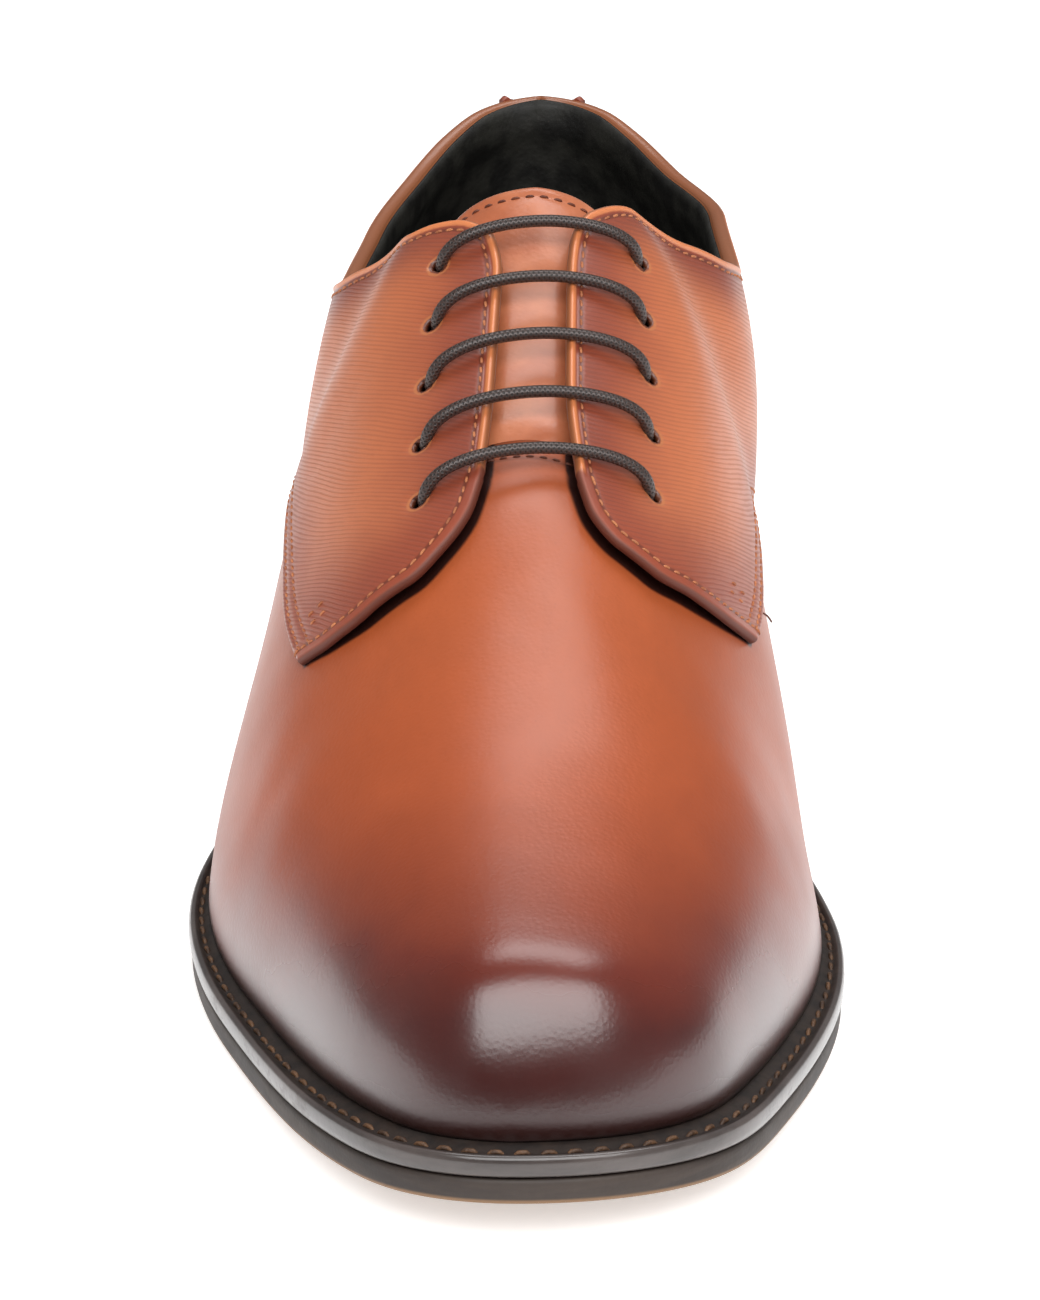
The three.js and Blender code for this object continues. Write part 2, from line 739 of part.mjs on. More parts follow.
// the tongue lies under the facings and passes under the vamp at its front
const tongueTurn = curve(TONGUE, 'turn');
const tongueEdge = curve(TONGUE, 'edge');
const tongueUnder = curve(TONGUE, 'drop');
const vampUnder = wallThick + 4 * clearance;
const tongueSheet = (extra) => (u, w) => {
  const across = 2 * w - 1;
  const spread = Math.abs(across);
  const wrap = (tongueWrap * spread ** 2 - tongueRound * spread ** 8) * u ** 6;
  const turn = tongueTurn(u) + wrap;
  const share = 1 - spread * (1 - tongueEdge(u));
  const off = tongueDrop + (vampUnder - tongueDrop) * tongueUnder(u) + extra;
  return skin(across > 0 ? 2 - turn : turn, share, -off);
};
const tongue = stack([tongueSheet(tongueThick), tongueSheet(0)], 14, 10);

// the turn at which the last has a given distance from toe to heel, at one share of its ribs
function turnAcross(guess, share, reach) {
  const step = 1e-3;
  let turn = guess;
  for (let round = 0; round < 5; round++) {
    const here = lastPoint(2 - turn, share).y;
    const slope = (lastPoint(2 - turn - step, share).y - here) / step;
    turn -= (here - reach) / slope;
  }
  return turn;
}

// the lace: bars straight across the facings, joined by runs beneath them on alternate sides
function lacePath() {
  const corners = [];
  const over = laceOver;
  const under = laceUnder;
  eyeletPlaces.forEach((pair, n) => {
    const leftward = n % 2 === 0;
    const [from, to] = leftward ? [pair.inner, pair.outer] : [pair.outer, pair.inner];
    corners.push(skin(...from, under));
    const span = 6;
    const [first, second] = [from, to].map(([a, v]) => [a > 1 ? 2 - a : a, a > 1 ? v : 2 - v]);
    const [start, end] = [from, to].map((place) => lastPoint(...place).y);
    for (let k = 0; k <= span; k++) {
      const u = k / span;
      const share = first[1] + (second[1] - first[1]) * u;
      const guess = first[0] + (second[0] - first[0]) * u;
      corners.push(skin(2 - turnAcross(guess, share, start + (end - start) * u), share, over));
    }
    if (n === eyeletPlaces.length - 1) {
      corners.push(skin(...to, flapLift));
      return;
    }
    corners.push(skin(...to, under));
    const next = leftward ? eyeletPlaces[n + 1].outer : eyeletPlaces[n + 1].inner;
    corners.push(skin((to[0] + next[0]) / 2, to[1], under));
  });
  return rounded(corners, laceBend, 3);
}
const lace = cord(lacePath(), laceDiameter / 2, laceSides);

const tan = { color: 0xb8602f, roughness: 0.34, metalness: 0 };
const finishes = {
  outsole: { color: 0x5b514b, roughness: 0.62, metalness: 0 },
  welt: { color: 0x4d4340, roughness: 0.35, metalness: 0 },
  heel_stack: { color: 0x4d4340, roughness: 0.40, metalness: 0 },
  heel_top_lift: { color: 0x3a3533, roughness: 0.70, metalness: 0 },
  insole: { color: 0x23201c, roughness: 0.75, metalness: 0 },
  upper: tan,
  tongue: { color: 0xb0592c, roughness: 0.38, metalness: 0 },
  lace: { color: 0x40332f, roughness: 0.50, metalness: 0 },
};
const bodies = {
  outsole,
  welt,
  heel_stack: heelStack,
  heel_top_lift: heelTopLift,
  insole,
  upper,
  tongue,
  lace,
};

const widest = [];
for (let i = 0; i <= 400; i++) widest.push(edge(i / 200, 0, 0).x);
const middle = (Math.max(...widest) + Math.min(...widest)) / 2;

const group = new THREE.Group();
group.name = 'plain_toe_derby';
for (const [name, body] of Object.entries(bodies)) {
  const mesh = body.getMesh();
  const flat = new THREE.BufferGeometry();
  flat.setAttribute('position', new THREE.BufferAttribute(new Float32Array(mesh.vertProperties), 3));
  flat.setIndex(new THREE.BufferAttribute(new Uint32Array(mesh.triVerts), 1));
  flat.translate(-middle, 0, 0);
  flat.computeVertexNormals();
  const piece = new THREE.Mesh(flat, new THREE.MeshStandardMaterial(finishes[name]));
  piece.name = name;
  group.add(piece);
}

export default group;
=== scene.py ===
"""Plain toe derby for a right foot: the dressed shoe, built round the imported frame."""
import math

import bmesh
import bpy
import numpy as np
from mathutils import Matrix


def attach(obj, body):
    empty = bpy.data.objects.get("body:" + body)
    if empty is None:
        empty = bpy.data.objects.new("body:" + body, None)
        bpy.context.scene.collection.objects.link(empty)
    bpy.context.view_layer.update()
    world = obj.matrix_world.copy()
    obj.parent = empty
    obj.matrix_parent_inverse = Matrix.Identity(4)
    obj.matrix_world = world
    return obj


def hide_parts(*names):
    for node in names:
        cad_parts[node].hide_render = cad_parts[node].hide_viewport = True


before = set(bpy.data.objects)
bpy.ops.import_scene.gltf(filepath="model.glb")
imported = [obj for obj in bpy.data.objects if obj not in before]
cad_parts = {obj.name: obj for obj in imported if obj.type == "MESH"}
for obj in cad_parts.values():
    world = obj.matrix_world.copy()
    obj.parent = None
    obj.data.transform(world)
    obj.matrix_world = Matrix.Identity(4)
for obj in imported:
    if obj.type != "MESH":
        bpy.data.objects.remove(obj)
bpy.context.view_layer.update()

MM = 0.001


def table(names, *rows):
    """A table's columns by name."""
    return dict(zip(names.split(), zip(*rows)))


# the shoe's own sizes in millimetres
SOLE_LENGTH = 308.0
BALL_WIDTH = 110.0
HEEL_LIFT = 26.0
INSTEP_HEIGHT = 118.0
OUTSOLE_THICK = 4.3
WELT_THICK = 3.7
WELT_REACH = 6.8
TOP_LIFT_THICK = 5.5
WALL_THICK = 2.0
VAMP_THICK = 1.1
QUARTER_THICK = 1.6
STRIP_THICK = 1.0
TONGUE_THICK = 1.7
LACE_DIAMETER = 2.1
EYELET_DIAMETER = 4.4
CLEARANCE = 0.3
LACE_CLEARANCE = 0.6
TONGUE_DROP = 1.6
FLAP_LIFT = LACE_DIAMETER + 2 * LACE_CLEARANCE - TONGUE_DROP
LACE_UNDER = LACE_DIAMETER / 2 + LACE_CLEARANCE - TONGUE_DROP
LACE_OVER = FLAP_LIFT + QUARTER_THICK + LACE_CLEARANCE + LACE_DIAMETER / 2
WELT_LOW = OUTSOLE_THICK + CLEARANCE
WELT_HIGH = WELT_LOW + WELT_THICK
HEEL_FOOT = TOP_LIFT_THICK + CLEARANCE
LIFT_PITCH = 4.6
FEATHER_LINE = OUTSOLE_THICK + WELT_THICK + 2 * CLEARANCE
VAMP_UNDER = WALL_THICK + 4 * CLEARANCE

# plan of the sole: shares of the length and of the ball width
OUTLINE = {
    "at": [0, 0.02, 0.06, 0.12, 0.20, 0.28, 0.35, 0.41, 0.48, 0.56, 0.65, 0.75, 0.85, 0.93, 0.98, 1],
    "mid": [0.017, 0.04, 0.053, 0.045, 0.034, 0.017, -0.002, -0.018, -0.029, -0.029, -0.018, -0.005,
            0, 0, 0, 0],
    "half": [0, 0.185, 0.286, 0.359, 0.43, 0.482, 0.497, 0.48, 0.425, 0.360, 0.320, 0.320, 0.327,
             0.287, 0.178, 0],
}
# underside of the sole, as shares of the heel lift
LIFT = {
    "at": [0, 0.05, 0.12, 0.20, 0.28, 0.37, 0.46, 0.55, 0.64, 0.72, 0.80, 0.90, 1],
    "lift": [0.285, 0.204, 0.108, 0.036, 0, 0, 0.085, 0.308, 0.577, 0.785, 0.908, 0.977, 1],
}
# how far the sole stands out beyond the upper, as shares of the welt's reach
MARGIN = {
    "at": [0, 0.12, 0.22, 0.32, 0.42, 0.55, 0.70, 0.85, 1],
    "reach": [1, 0.79, 0.68, 0.53, 0.47, 0.50, 0.50, 0.53, 0.62],
}
# ribs of the last, from the welt up to the ridge or the ankle
RIBS = table(
    "at top rake crown brow side lean_out lean_in gap_out gap_in ridge",
    (0.000, 0.151, 0.000, 0, 0.60, 0.62, 0.000, 0.000, 0.000, 0.000, 0.017),
    (0.022, 0.284, 0.000, 0, 0.60, 0.62, 0.014, 0.014, 0.000, 0.000, 0.027),
    (0.045, 0.331, 0.000, 0, 0.60, 0.60, 0.018, 0.018, 0.000, 0.000, 0.036),
    (0.080, 0.364, 0.000, 0, 0.60, 0.58, 0.023, 0.023, 0.000, 0.000, 0.042),
    (0.140, 0.403, 0.000, 0, 0.58, 0.54, 0.018, 0.018, 0.000, 0.000, 0.042),
    (0.220, 0.462, 0.000, 0, 0.55, 0.47, 0.009, 0.005, 0.000, 0.000, 0.036),
    (0.300, 0.555, 0.000, 0, 0.50, 0.40, -0.005, -0.014, 0.000, 0.000, 0.027),
    (0.380, 0.668, 0.000, 0, 0.48, 0.36, -0.005, 0.006, 0.000, 0.000, 0.018),
    (0.440, 0.749, 0.019, 0, 0.50, 0.38, 0.025, 0.092, 0.000, 0.000, 0.015),
    (0.500, 0.864, 0.052, 0, 0.50, 0.42, 0.070, 0.160, 0.000, 0.000, 0.015),
    (0.560, 0.984, 0.071, 5, 0.46, 0.44, 0.118, 0.192, 0.000, 0.000, 0.015),
    (0.630, 1.008, 0.084, 50, 0.40, 0.44, 0.100, 0.178, 0.145, 0.155, 0.009),
    (0.710, 0.949, 0.065, 84, 0.36, 0.44, 0.086, 0.148, 0.250, 0.272, 0.005),
    (0.800, 0.907, 0.032, 90, 0.34, 0.44, 0.068, 0.100, 0.238, 0.283, 0.000),
    (0.900, 0.898, 0.000, 93, 0.34, 0.44, 0.045, 0.050, 0.186, 0.206, 0.000),
    (1.000, 0.898, -0.013, 97, 0.34, 0.44, 0.018, 0.018, 0.000, 0.000, 0.000),
)
# upper edge of the quarters, by turn round the sole and share of the rib
RIM = {
    "turn": [0.436, 0.470, 0.500, 0.512, 0.520, 0.527, 0.535, 0.548, 0.565, 0.585, 0.605, 0.630, 0.660,
             0.700, 0.750, 0.800, 0.850, 0.900, 1],
    "outer": [0.917, 0.930, 0.932, 0.910, 0.852, 0.780, 0.712, 0.658, 0.612, 0.592, 0.599, 0.618, 0.642,
              0.667, 0.705, 0.752, 0.810, 0.850, 0.873],
    "inner": [0.897, 0.918, 0.914, 0.902, 0.872, 0.825, 0.775, 0.708, 0.652, 0.630, 0.642, 0.670, 0.698,
              0.725, 0.745, 0.772, 0.817, 0.853, 0.873],
}
# a quarter's columns: where each starts on the lower seam and ends on the rim
SEAM = table(
    "along rim outer_turn outer_share inner_turn inner_share",
    (0.00, 0.436, 0.419, 0.486, 0.449, 0.424),
    (0.10, 0.470, 0.445, 0.450, 0.470, 0.395),
    (0.18, 0.500, 0.472, 0.415, 0.493, 0.365),
    (0.22, 0.512, 0.485, 0.395, 0.505, 0.345),
    (0.26, 0.520, 0.500, 0.370, 0.518, 0.326),
    (0.32, 0.535, 0.527, 0.330, 0.543, 0.290),
    (0.37, 0.548, 0.550, 0.300, 0.562, 0.258),
    (0.43, 0.565, 0.580, 0.240, 0.590, 0.210),
    (0.49, 0.585, 0.612, 0.170, 0.620, 0.152),
    (0.55, 0.605, 0.645, 0.100, 0.650, 0.090),
    (0.62, 0.636, 0.685, 0.020, 0.690, 0.020),
    (0.68, 0.660, 0.720, 0.006, 0.720, 0.006),
    (0.78, 0.725, 0.790, 0.006, 0.790, 0.006),
    (0.88, 0.810, 0.865, 0.006, 0.865, 0.006),
    (0.95, 0.900, 0.935, 0.006, 0.935, 0.006),
    (1.00, 1.000, 1.000, 0.006, 1.000, 0.006),
)
# a quarter's front edge, from its lower corner up to the facing
FRONT = table(
    "up outer_turn outer_share inner_turn inner_share",
    (0.00, 0.419, 0.486, 0.449, 0.424),
    (0.16, 0.408, 0.575, 0.433, 0.526),
    (0.32, 0.403, 0.664, 0.422, 0.617),
    (0.50, 0.403, 0.758, 0.414, 0.720),
    (0.68, 0.410, 0.834, 0.415, 0.802),
    (0.84, 0.421, 0.888, 0.422, 0.862),
    (1.00, 0.436, 0.917, 0.436, 0.897),
)
# eyelets from the vamp up, by turn, and the share of the rib that each side's row keeps
EYELETS = {-1: [0.435, 0.457, 0.477, 0.495, 0.513], 1: [0.447, 0.469, 0.487, 0.505, 0.522]}
EYELET_SHARE = {-1: 0.786, 1: 0.724}
FLAP_MARGIN = 0.034
# the tongue: its length in turns, its side edges as shares of the rib, how much it passes under the vamp
TONGUE = {
    "up": [0, 0.24, 0.34, 0.56, 0.80, 1],
    "turn": [0.422, 0.449, 0.462, 0.485, 0.512, 0.530],
    "edge": [0.800, 0.770, 0.762, 0.750, 0.735, 0.725],
    "drop": [1, 1, 0, 0, 0, 0],
}
TONGUE_WRAP = 0.018
TONGUE_ROUND = 0.014
# round figures in mm that make distances of shares: along it near its top, across it near a side edge
TONGUE_LONG, TONGUE_WIDE = 62, 70
TONGUE_STITCH = 2.6
THROAT_AT = 0.425

# soft troughs of the vamp, where it bends: side, place along the foot and up the rib, slant in degrees,
# length, width and depth in mm
FOLDS = [
    (1, 0.335, 0.80, 10, 26, 5.0, 0.16),
    (-1, 0.330, 0.78, 8, 28, 5.5, 0.16),
    (1, 0.375, 0.74, 14, 22, 4.0, 0.13),
    (-1, 0.372, 0.76, 12, 24, 4.5, 0.12),
    (-1, 0.300, 0.36, 16, 20, 6.0, 0.15),
    (1, 0.300, 0.34, 16, 20, 6.0, 0.12),
]


def natural(xs, ys):
    """Cubic spline through the points, straight at both ends."""
    xs, ys = np.asarray(xs, float), np.asarray(ys, float)
    spans = np.diff(xs)
    k = np.arange(1, len(xs) - 1)
    system = np.eye(len(xs))
    system[k, k - 1] = spans[:-1]
    system[k, k] = 2 * (spans[:-1] + spans[1:])
    system[k, k + 1] = spans[1:]
    load = np.zeros(len(xs))
    load[1:-1] = 6 * np.diff(np.diff(ys) / spans)
    bend = np.linalg.solve(system, load)

    def at(x):
        x = np.clip(x, xs[0], xs[-1])
        k = np.clip(np.searchsorted(xs, x) - 1, 0, len(xs) - 2)
        span, d = spans[k], x - xs[k]
        slope = (ys[k + 1] - ys[k]) / span - span * (2 * bend[k] + bend[k + 1]) / 6
        return ys[k] + d * slope + d * d * bend[k] / 2 + d**3 * (bend[k + 1] - bend[k]) / (6 * span)

    return at


def eased(xs, ys):
    """Smooth curve through the points that never overshoots them."""
    xs, ys = np.asarray(xs, float), np.asarray(ys, float)
    spans = np.diff(xs)
    step = np.diff(ys) / spans
    slope = np.zeros(len(xs))
    before, after = spans[:-1], spans[1:]
    first, second = 2 * after + before, after + 2 * before
    same = step[:-1] * step[1:] > 0
    safe = np.where(same, step[:-1], 1), np.where(same, step[1:], 1)
    slope[1:-1] = np.where(same, (first + second) / (first / safe[0] + second / safe[1]), 0)
    slope[0], slope[-1] = step[0], step[-1]

    def at(x):
        x = np.clip(x, xs[0], xs[-1])
        k = np.clip(np.searchsorted(xs, x) - 1, 0, len(xs) - 2)
        u = (x - xs[k]) / spans[k]
        rise = u * u * (3 - 2 * u)
        lead = u * (1 - u) ** 2 * spans[k] * slope[k]
        tail = -u * u * (1 - u) * spans[k] * slope[k + 1]
        return ys[k] + (ys[k + 1] - ys[k]) * rise + lead + tail

    return at


def turn_of(share):
    """Turn round the sole of a share of its length: it runs evenly round both ends."""
    return np.arccos(1 - 2 * np.asarray(share, float)) / np.pi


def share_of(turn):
    """Share of the length at a turn."""
    return (1 - np.cos(np.pi * np.asarray(turn, float))) / 2


def smooth(x):
    """0 below 0, 1 above 1, with a soft rise between."""
    u = np.clip(x, 0.0, 1.0)
    return u * u * (3 - 2 * u)


def bell(x, centre, width):
    """A bell of height 1, exp(-((x - centre) / width)^2)."""
    return np.exp(-(((x - centre) / width) ** 2))


def rounded(gap, radius):
    """How far a face drops at a gap from its rounded edge."""
    return radius - np.sqrt(np.maximum(radius**2 - np.maximum(radius - gap, 0) ** 2, 0))


def by_side(side, inner, outer):
    return np.where(side > 0, inner, outer)


def around(side, turn):
    """Place round the sole of a turn on one side."""
    return turn if side > 0 else 2 - turn


mid_line = natural(turn_of(OUTLINE["at"]), OUTLINE["mid"])
half_width = natural(turn_of(OUTLINE["at"]), OUTLINE["half"])
lift_at = eased(LIFT["at"], LIFT["lift"])
margin_at = natural(MARGIN["at"], MARGIN["reach"])
EASED = ("top", "rake", "crown", "gap_out", "gap_in", "ridge")
rib = {name: (eased if name in EASED else natural)(turn_of(RIBS["at"]), values)
       for name, values in RIBS.items()}
rim_share = {-1: eased(RIM["turn"], RIM["outer"]), 1: eased(RIM["turn"], RIM["inner"])}
seam_at = {name: eased(SEAM["along"], values) for name, values in SEAM.items()}
front_at = {name: eased(FRONT["up"], values) for name, values in FRONT.items()}
tongue_at = {name: eased(TONGUE["up"], values) for name, values in TONGUE.items()}
RIDGE_END = turn_of(0.56) - 0.012


def side_of(a):
    """Turn and side of a place round the sole: toe 0, inner side to the heel at 1, outer side to 2."""
    turn = np.mod(a, 2.0)
    return np.where(turn <= 1, turn, 2 - turn), np.where(turn <= 1, 1.0, -1.0)


def unit(v):
    return v / np.maximum(np.linalg.norm(v, axis=-1, keepdims=True), 1e-9)


def underside(share):
    return HEEL_LIFT * lift_at(share)


def plan(a):
    """Plan of the sole's edge: mid line plus or minus half the width."""
    turn, side = side_of(a)
    x = BALL_WIDTH * (mid_line(turn) + side * half_width(turn))
    return np.stack([x, SOLE_LENGTH * (share_of(turn) - 0.5)], -1)


def edge(a, inset, height):
    """A point inside the sole's edge, at a height over its underside."""
    a, inset, height = np.broadcast_arrays(*(np.asarray(v, float) for v in (a, inset, height)))
    along = unit(plan(a + 1e-3) - plan(a - 1e-3))
    here = plan(a)
    x = here[..., 0] - inset * along[..., 1]
    y = here[..., 1] + inset * along[..., 0]
    return np.stack([x, y, underside(y / SOLE_LENGTH + 0.5) + height], -1)


def outward(a):
    """Level direction out of the sole's edge."""
    along = unit(plan(a + 1e-3) - plan(a - 1e-3))
    return np.stack([along[..., 1], -along[..., 0], 0 * along[..., 0]], -1)


def margin_of(a):
    return WELT_REACH * margin_at(share_of(side_of(a)[0]))


def feather(a, inset=0.0, height=FEATHER_LINE):
    return edge(a, margin_of(a) + inset, height)


ALL_X = plan(np.arange(401) / 200)[:, 0]
MIDDLE = (ALL_X.max() + ALL_X.min()) / 2


def last_point(a, v):
    """Face of the last: each rib is a cubic from the feather line up to the ridge or the ankle."""
    a, v = np.broadcast_arrays(np.mod(np.asarray(a, float), 2.0), np.asarray(v, float))
    over = (v > 1) & (side_of(a)[0] < RIDGE_END)
    a = np.where(over, 2 - a, a)
    v = np.clip(np.where(over, 2 - v, v), 0, 1)
    turn, side = side_of(a)
    share = share_of(turn)
    foot = feather(a)
    top = np.stack([
        BALL_WIDTH * (rib["ridge"](turn) + side * by_side(side, rib["gap_in"](turn), rib["gap_out"](turn))),
        (foot[..., 1] + feather(2 - a)[..., 1]) / 2 + SOLE_LENGTH * rib["rake"](turn),
        INSTEP_HEIGHT * rib["top"](turn),
    ], -1)
    fan = smooth((share - 0.62) / 0.2)[..., None]
    level = np.stack([side, 0 * side, 0 * side], -1)
    out = unit(level * (1 - fan) + outward(a) * fan)
    up = np.array([0.0, 0.0, 1.0])
    height = top[..., 2] - foot[..., 2]
    width = np.abs(((top - foot) * out).sum(-1))
    crown = np.radians(rib["crown"](turn))
    lean = BALL_WIDTH * by_side(side, rib["lean_in"](turn), rib["lean_out"](turn))
    lean = lean * np.clip(height / 30, 0, 1)
    reach = rib["brow"](turn) * (width * np.cos(crown) ** 2 + height * np.sin(crown) ** 2)
    low = foot + up * (rib["side"](turn) * height)[..., None] + out * lean[..., None]
    high = top + out * (reach * np.cos(crown))[..., None] - up * (reach * np.sin(crown))[..., None]
    v, rest = v[..., None], 1 - v[..., None]
    return rest**3 * foot + 3 * rest * rest * v * low + 3 * rest * v * v * high + v**3 * top


def normal_at(a, v):
    """Direction out of the last, from small steps round the sole and up the rib."""
    sweep = last_point(a + 2e-3, v) - last_point(a - 2e-3, v)
    rise = last_point(a, v + 2e-3) - last_point(a, v - 2e-3)
    return unit(np.cross(sweep, rise))


def skin(a, v, off):
    """A point at a distance off the last."""
    a, v, off = np.broadcast_arrays(*(np.asarray(value, float) for value in (a, v, off)))
    point = last_point(a, v) + normal_at(a, v) * off[..., None]
    point[..., 2] = np.where(v <= 1e-6, last_point(a, 0 * v)[..., 2], point[..., 2])
    return point


def quads(columns, rows, ring=False):
    """Faces of a grid of points, column by column; a ring's last column meets its first."""
    i = np.arange(columns if ring else columns - 1)[:, None]
    j = np.arange(rows - 1)[None, :]
    k = (i + 1) % columns
    corners = np.broadcast_arrays(i * rows + j, k * rows + j, k * rows + j + 1, i * rows + j + 1)
    return np.stack(corners, -1).reshape(-1, 4)


def slab(outer, inner, faces):
    """A closed wall: the outer faces, the inner ones turned over, and a side face on each free edge.

    Points that lie on each other count as one, so that a seam of the grid has no side faces.
    """
    count = len(outer)
    _, first, same = np.unique(np.round(outer, 4), axis=0, return_index=True, return_inverse=True)
    faces = first[same.ravel()][faces]
    sides = np.stack([faces, np.roll(faces, -1, 1)], -1).reshape(-1, 2)
    sides = sides[sides[:, 0] != sides[:, 1]]
    key = np.sort(sides, 1) @ np.array([count, 1])
    _, index, times = np.unique(key, return_inverse=True, return_counts=True)
    free = sides[times[index] == 1]
    rims = np.stack([free[:, 1], free[:, 0], free[:, 0] + count, free[:, 1] + count], 1)
    return np.concatenate([outer, inner]), np.concatenate([faces, faces[:, ::-1] + count, rims])


def stack(levels):
    """A closed body between stacked grids: the first and last are filled, the others only walled."""
    columns, rows = levels[0].shape[:2]
    index = np.arange(columns * rows).reshape(columns, rows)
    loop = np.concatenate([index[:-1, 0], index[-1, :-1], index[:0:-1, -1], index[0, :0:-1]])
    ahead = np.roll(loop, -1)
    grid = quads(columns, rows)
    size = columns * rows
    parts = [grid[:, ::-1]]
    for n in range(len(levels) - 1):
        low = n * size
        parts.append(np.stack([loop + low, ahead + low, ahead + low + size, loop + low + size], 1))
    parts.append(grid + (len(levels) - 1) * size)
    return np.concatenate([level.reshape(-1, 3) for level in levels]), np.concatenate(parts)


def piece(name, points, faces, material, slot, nodes=(), marks=None):
    """A mesh object in metres: equal points are joined, unused ones dropped, marks kept as attributes."""
    used, index = np.unique(faces, return_inverse=True)
    faces = index.reshape(faces.shape)
    mesh = bpy.data.meshes.new(name)
    mesh.from_pydata(((points[used] + [-MIDDLE, 0, 0]) * MM).tolist(), [], faces.tolist())
    for mark, values in (marks or {}).items():
        layer = mesh.attributes.new(mark, "FLOAT", "POINT")
        layer.data.foreach_set("value", np.ascontiguousarray(values[used], np.float32))
    shape = bmesh.new()
    shape.from_mesh(mesh)
    bmesh.ops.remove_doubles(shape, verts=shape.verts, dist=2e-6)
    bmesh.ops.dissolve_degenerate(shape, edges=shape.edges, dist=1e-7)
    shape.to_mesh(mesh)
    shape.free()
    mesh.polygons.foreach_set("use_smooth", np.ones(len(mesh.polygons), bool))
    mesh.materials.append(material)
    made = bpy.data.objects.new(name, mesh)
    bpy.context.scene.collection.objects.link(made)
    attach(made, "root")
    if nodes:
        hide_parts(*nodes)
    return made


def sheet(name, outer, inner, faces, leather, slot="upper", nodes=(), marks=None):
    """A piece made of a closed wall, with the same marks on both of its faces."""
    twice = {mark: np.tile(values.ravel(), 2) for mark, values in (marks or {}).items()}
    return piece(name, *slab(outer.reshape(-1, 3), inner.reshape(-1, 3), faces), leather, slot, nodes, twice)


def distance_to(points, line):
    """Distance of each point from a line of points, by the nearest of its segments."""
    flat = points.reshape(-1, 3)
    starts, spans = line[:-1], np.diff(line, axis=0)
    lengths = np.maximum((spans**2).sum(-1), 1e-12)
    near = np.full(len(flat), np.inf)
    for part in np.array_split(np.arange(len(flat)), max(1, len(flat) // 2000)):
        away = flat[part, None] - starts[None]
        along = np.clip((away * spans).sum(-1) / lengths, 0, 1)
        gap = away - along[..., None] * spans
        near[part] = np.sqrt((gap**2).sum(-1).min(1))
    return near.reshape(points.shape[:-1])


def spread_rows(count, fine, reach):
    """Shares from 0 to 1, closer together within reach of both ends."""
    end = np.linspace(0, 1, fine + 1) ** 1.3 * reach
    middle = np.linspace(reach, 1 - reach, count + 1)[1:-1]
    return np.concatenate([end, middle, 1 - end[::-1]])


def resample(line, normals, pitch):
    """Places along a line at an even pitch, with the direction and the normal there."""
    length = np.concatenate([[0], np.cumsum(np.linalg.norm(np.diff(line, axis=0), axis=1))])
    count = max(1, int(length[-1] / pitch))
    at = (np.arange(count) + 0.5) * length[-1] / count

    def pick(values, s):
        return np.stack([np.interp(s, length, values[:, n]) for n in range(3)], -1)

    along = unit(pick(line, at + 0.4) - pick(line, at - 0.4))
    return pick(line, at), along, unit(pick(normals, at))


def thread(line, normals, pitch, length, radius, lift=0.0, slant=0.0):
    """Stitches along a line: each is a spindle whose ends dip into the leather."""
    centre, along, normal = resample(line, normals, pitch)
    across = unit(np.cross(normal, along))
    along = unit(along + across * slant)
    across = unit(np.cross(normal, along))
    t = np.array([-1, -0.86, -0.5, 0, 0.5, 0.86, 1])
    thick = radius * np.array([0, 0.62, 0.95, 1, 0.95, 0.62, 0])
    sink = lift - 1.5 * radius * t**4
    angle = np.arange(6) * np.pi / 3
    spoke = across[:, None] * np.cos(angle)[:, None] + normal[:, None] * np.sin(angle)[:, None]
    ring = (centre[:, None, None] + along[:, None, None] * (t * length / 2)[:, None, None]
            + normal[:, None, None] * sink[:, None, None] + spoke[:, None] * thick[:, None, None])
    grid = quads(len(angle), len(t), ring=True)
    one = ring.transpose(0, 2, 1, 3).reshape(len(centre), -1, 3)
    faces = grid[None] + (np.arange(len(centre)) * one.shape[1])[:, None, None]
    return one.reshape(-1, 3), faces.reshape(-1, 4)


def joined(parts):
    """Several point and face sets as one."""
    start = np.cumsum([0] + [len(points) for points, _ in parts[:-1]])
    return (np.concatenate([points for points, _ in parts]),
            np.concatenate([faces + shift for (_, faces), shift in zip(parts, start)]))


def tube(path, radius, sides):
    """A round cord along a path, with its distance along and share around as marks."""
    along = unit(np.gradient(path, axis=0))
    across = np.zeros_like(path)
    spoke = np.array([0.31, 0.87, 0.39])
    for i, step in enumerate(along):
        spoke = spoke - step * (spoke @ step)
        spoke = spoke / np.linalg.norm(spoke)
        across[i] = spoke
    third = np.cross(along, across)
    angle = 2 * np.pi * np.arange(sides) / sides
    thick = np.full(len(path), radius)
    thick[[0, -1]] = 0
    ring = (across[:, None] * np.cos(angle)[:, None] + third[:, None] * np.sin(angle)[:, None])
    points = path[:, None] + ring * thick[:, None, None]
    run = np.concatenate([[0], np.cumsum(np.linalg.norm(np.diff(path, axis=0), axis=1))])
    faces = quads(sides, len(path), ring=True)
    order = points.transpose(1, 0, 2).reshape(-1, 3)
    marks = {"along": np.tile(run, sides), "spin_x": np.repeat(np.cos(angle), len(path)),
             "spin_y": np.repeat(np.sin(angle), len(path))}
    return order, faces, marks


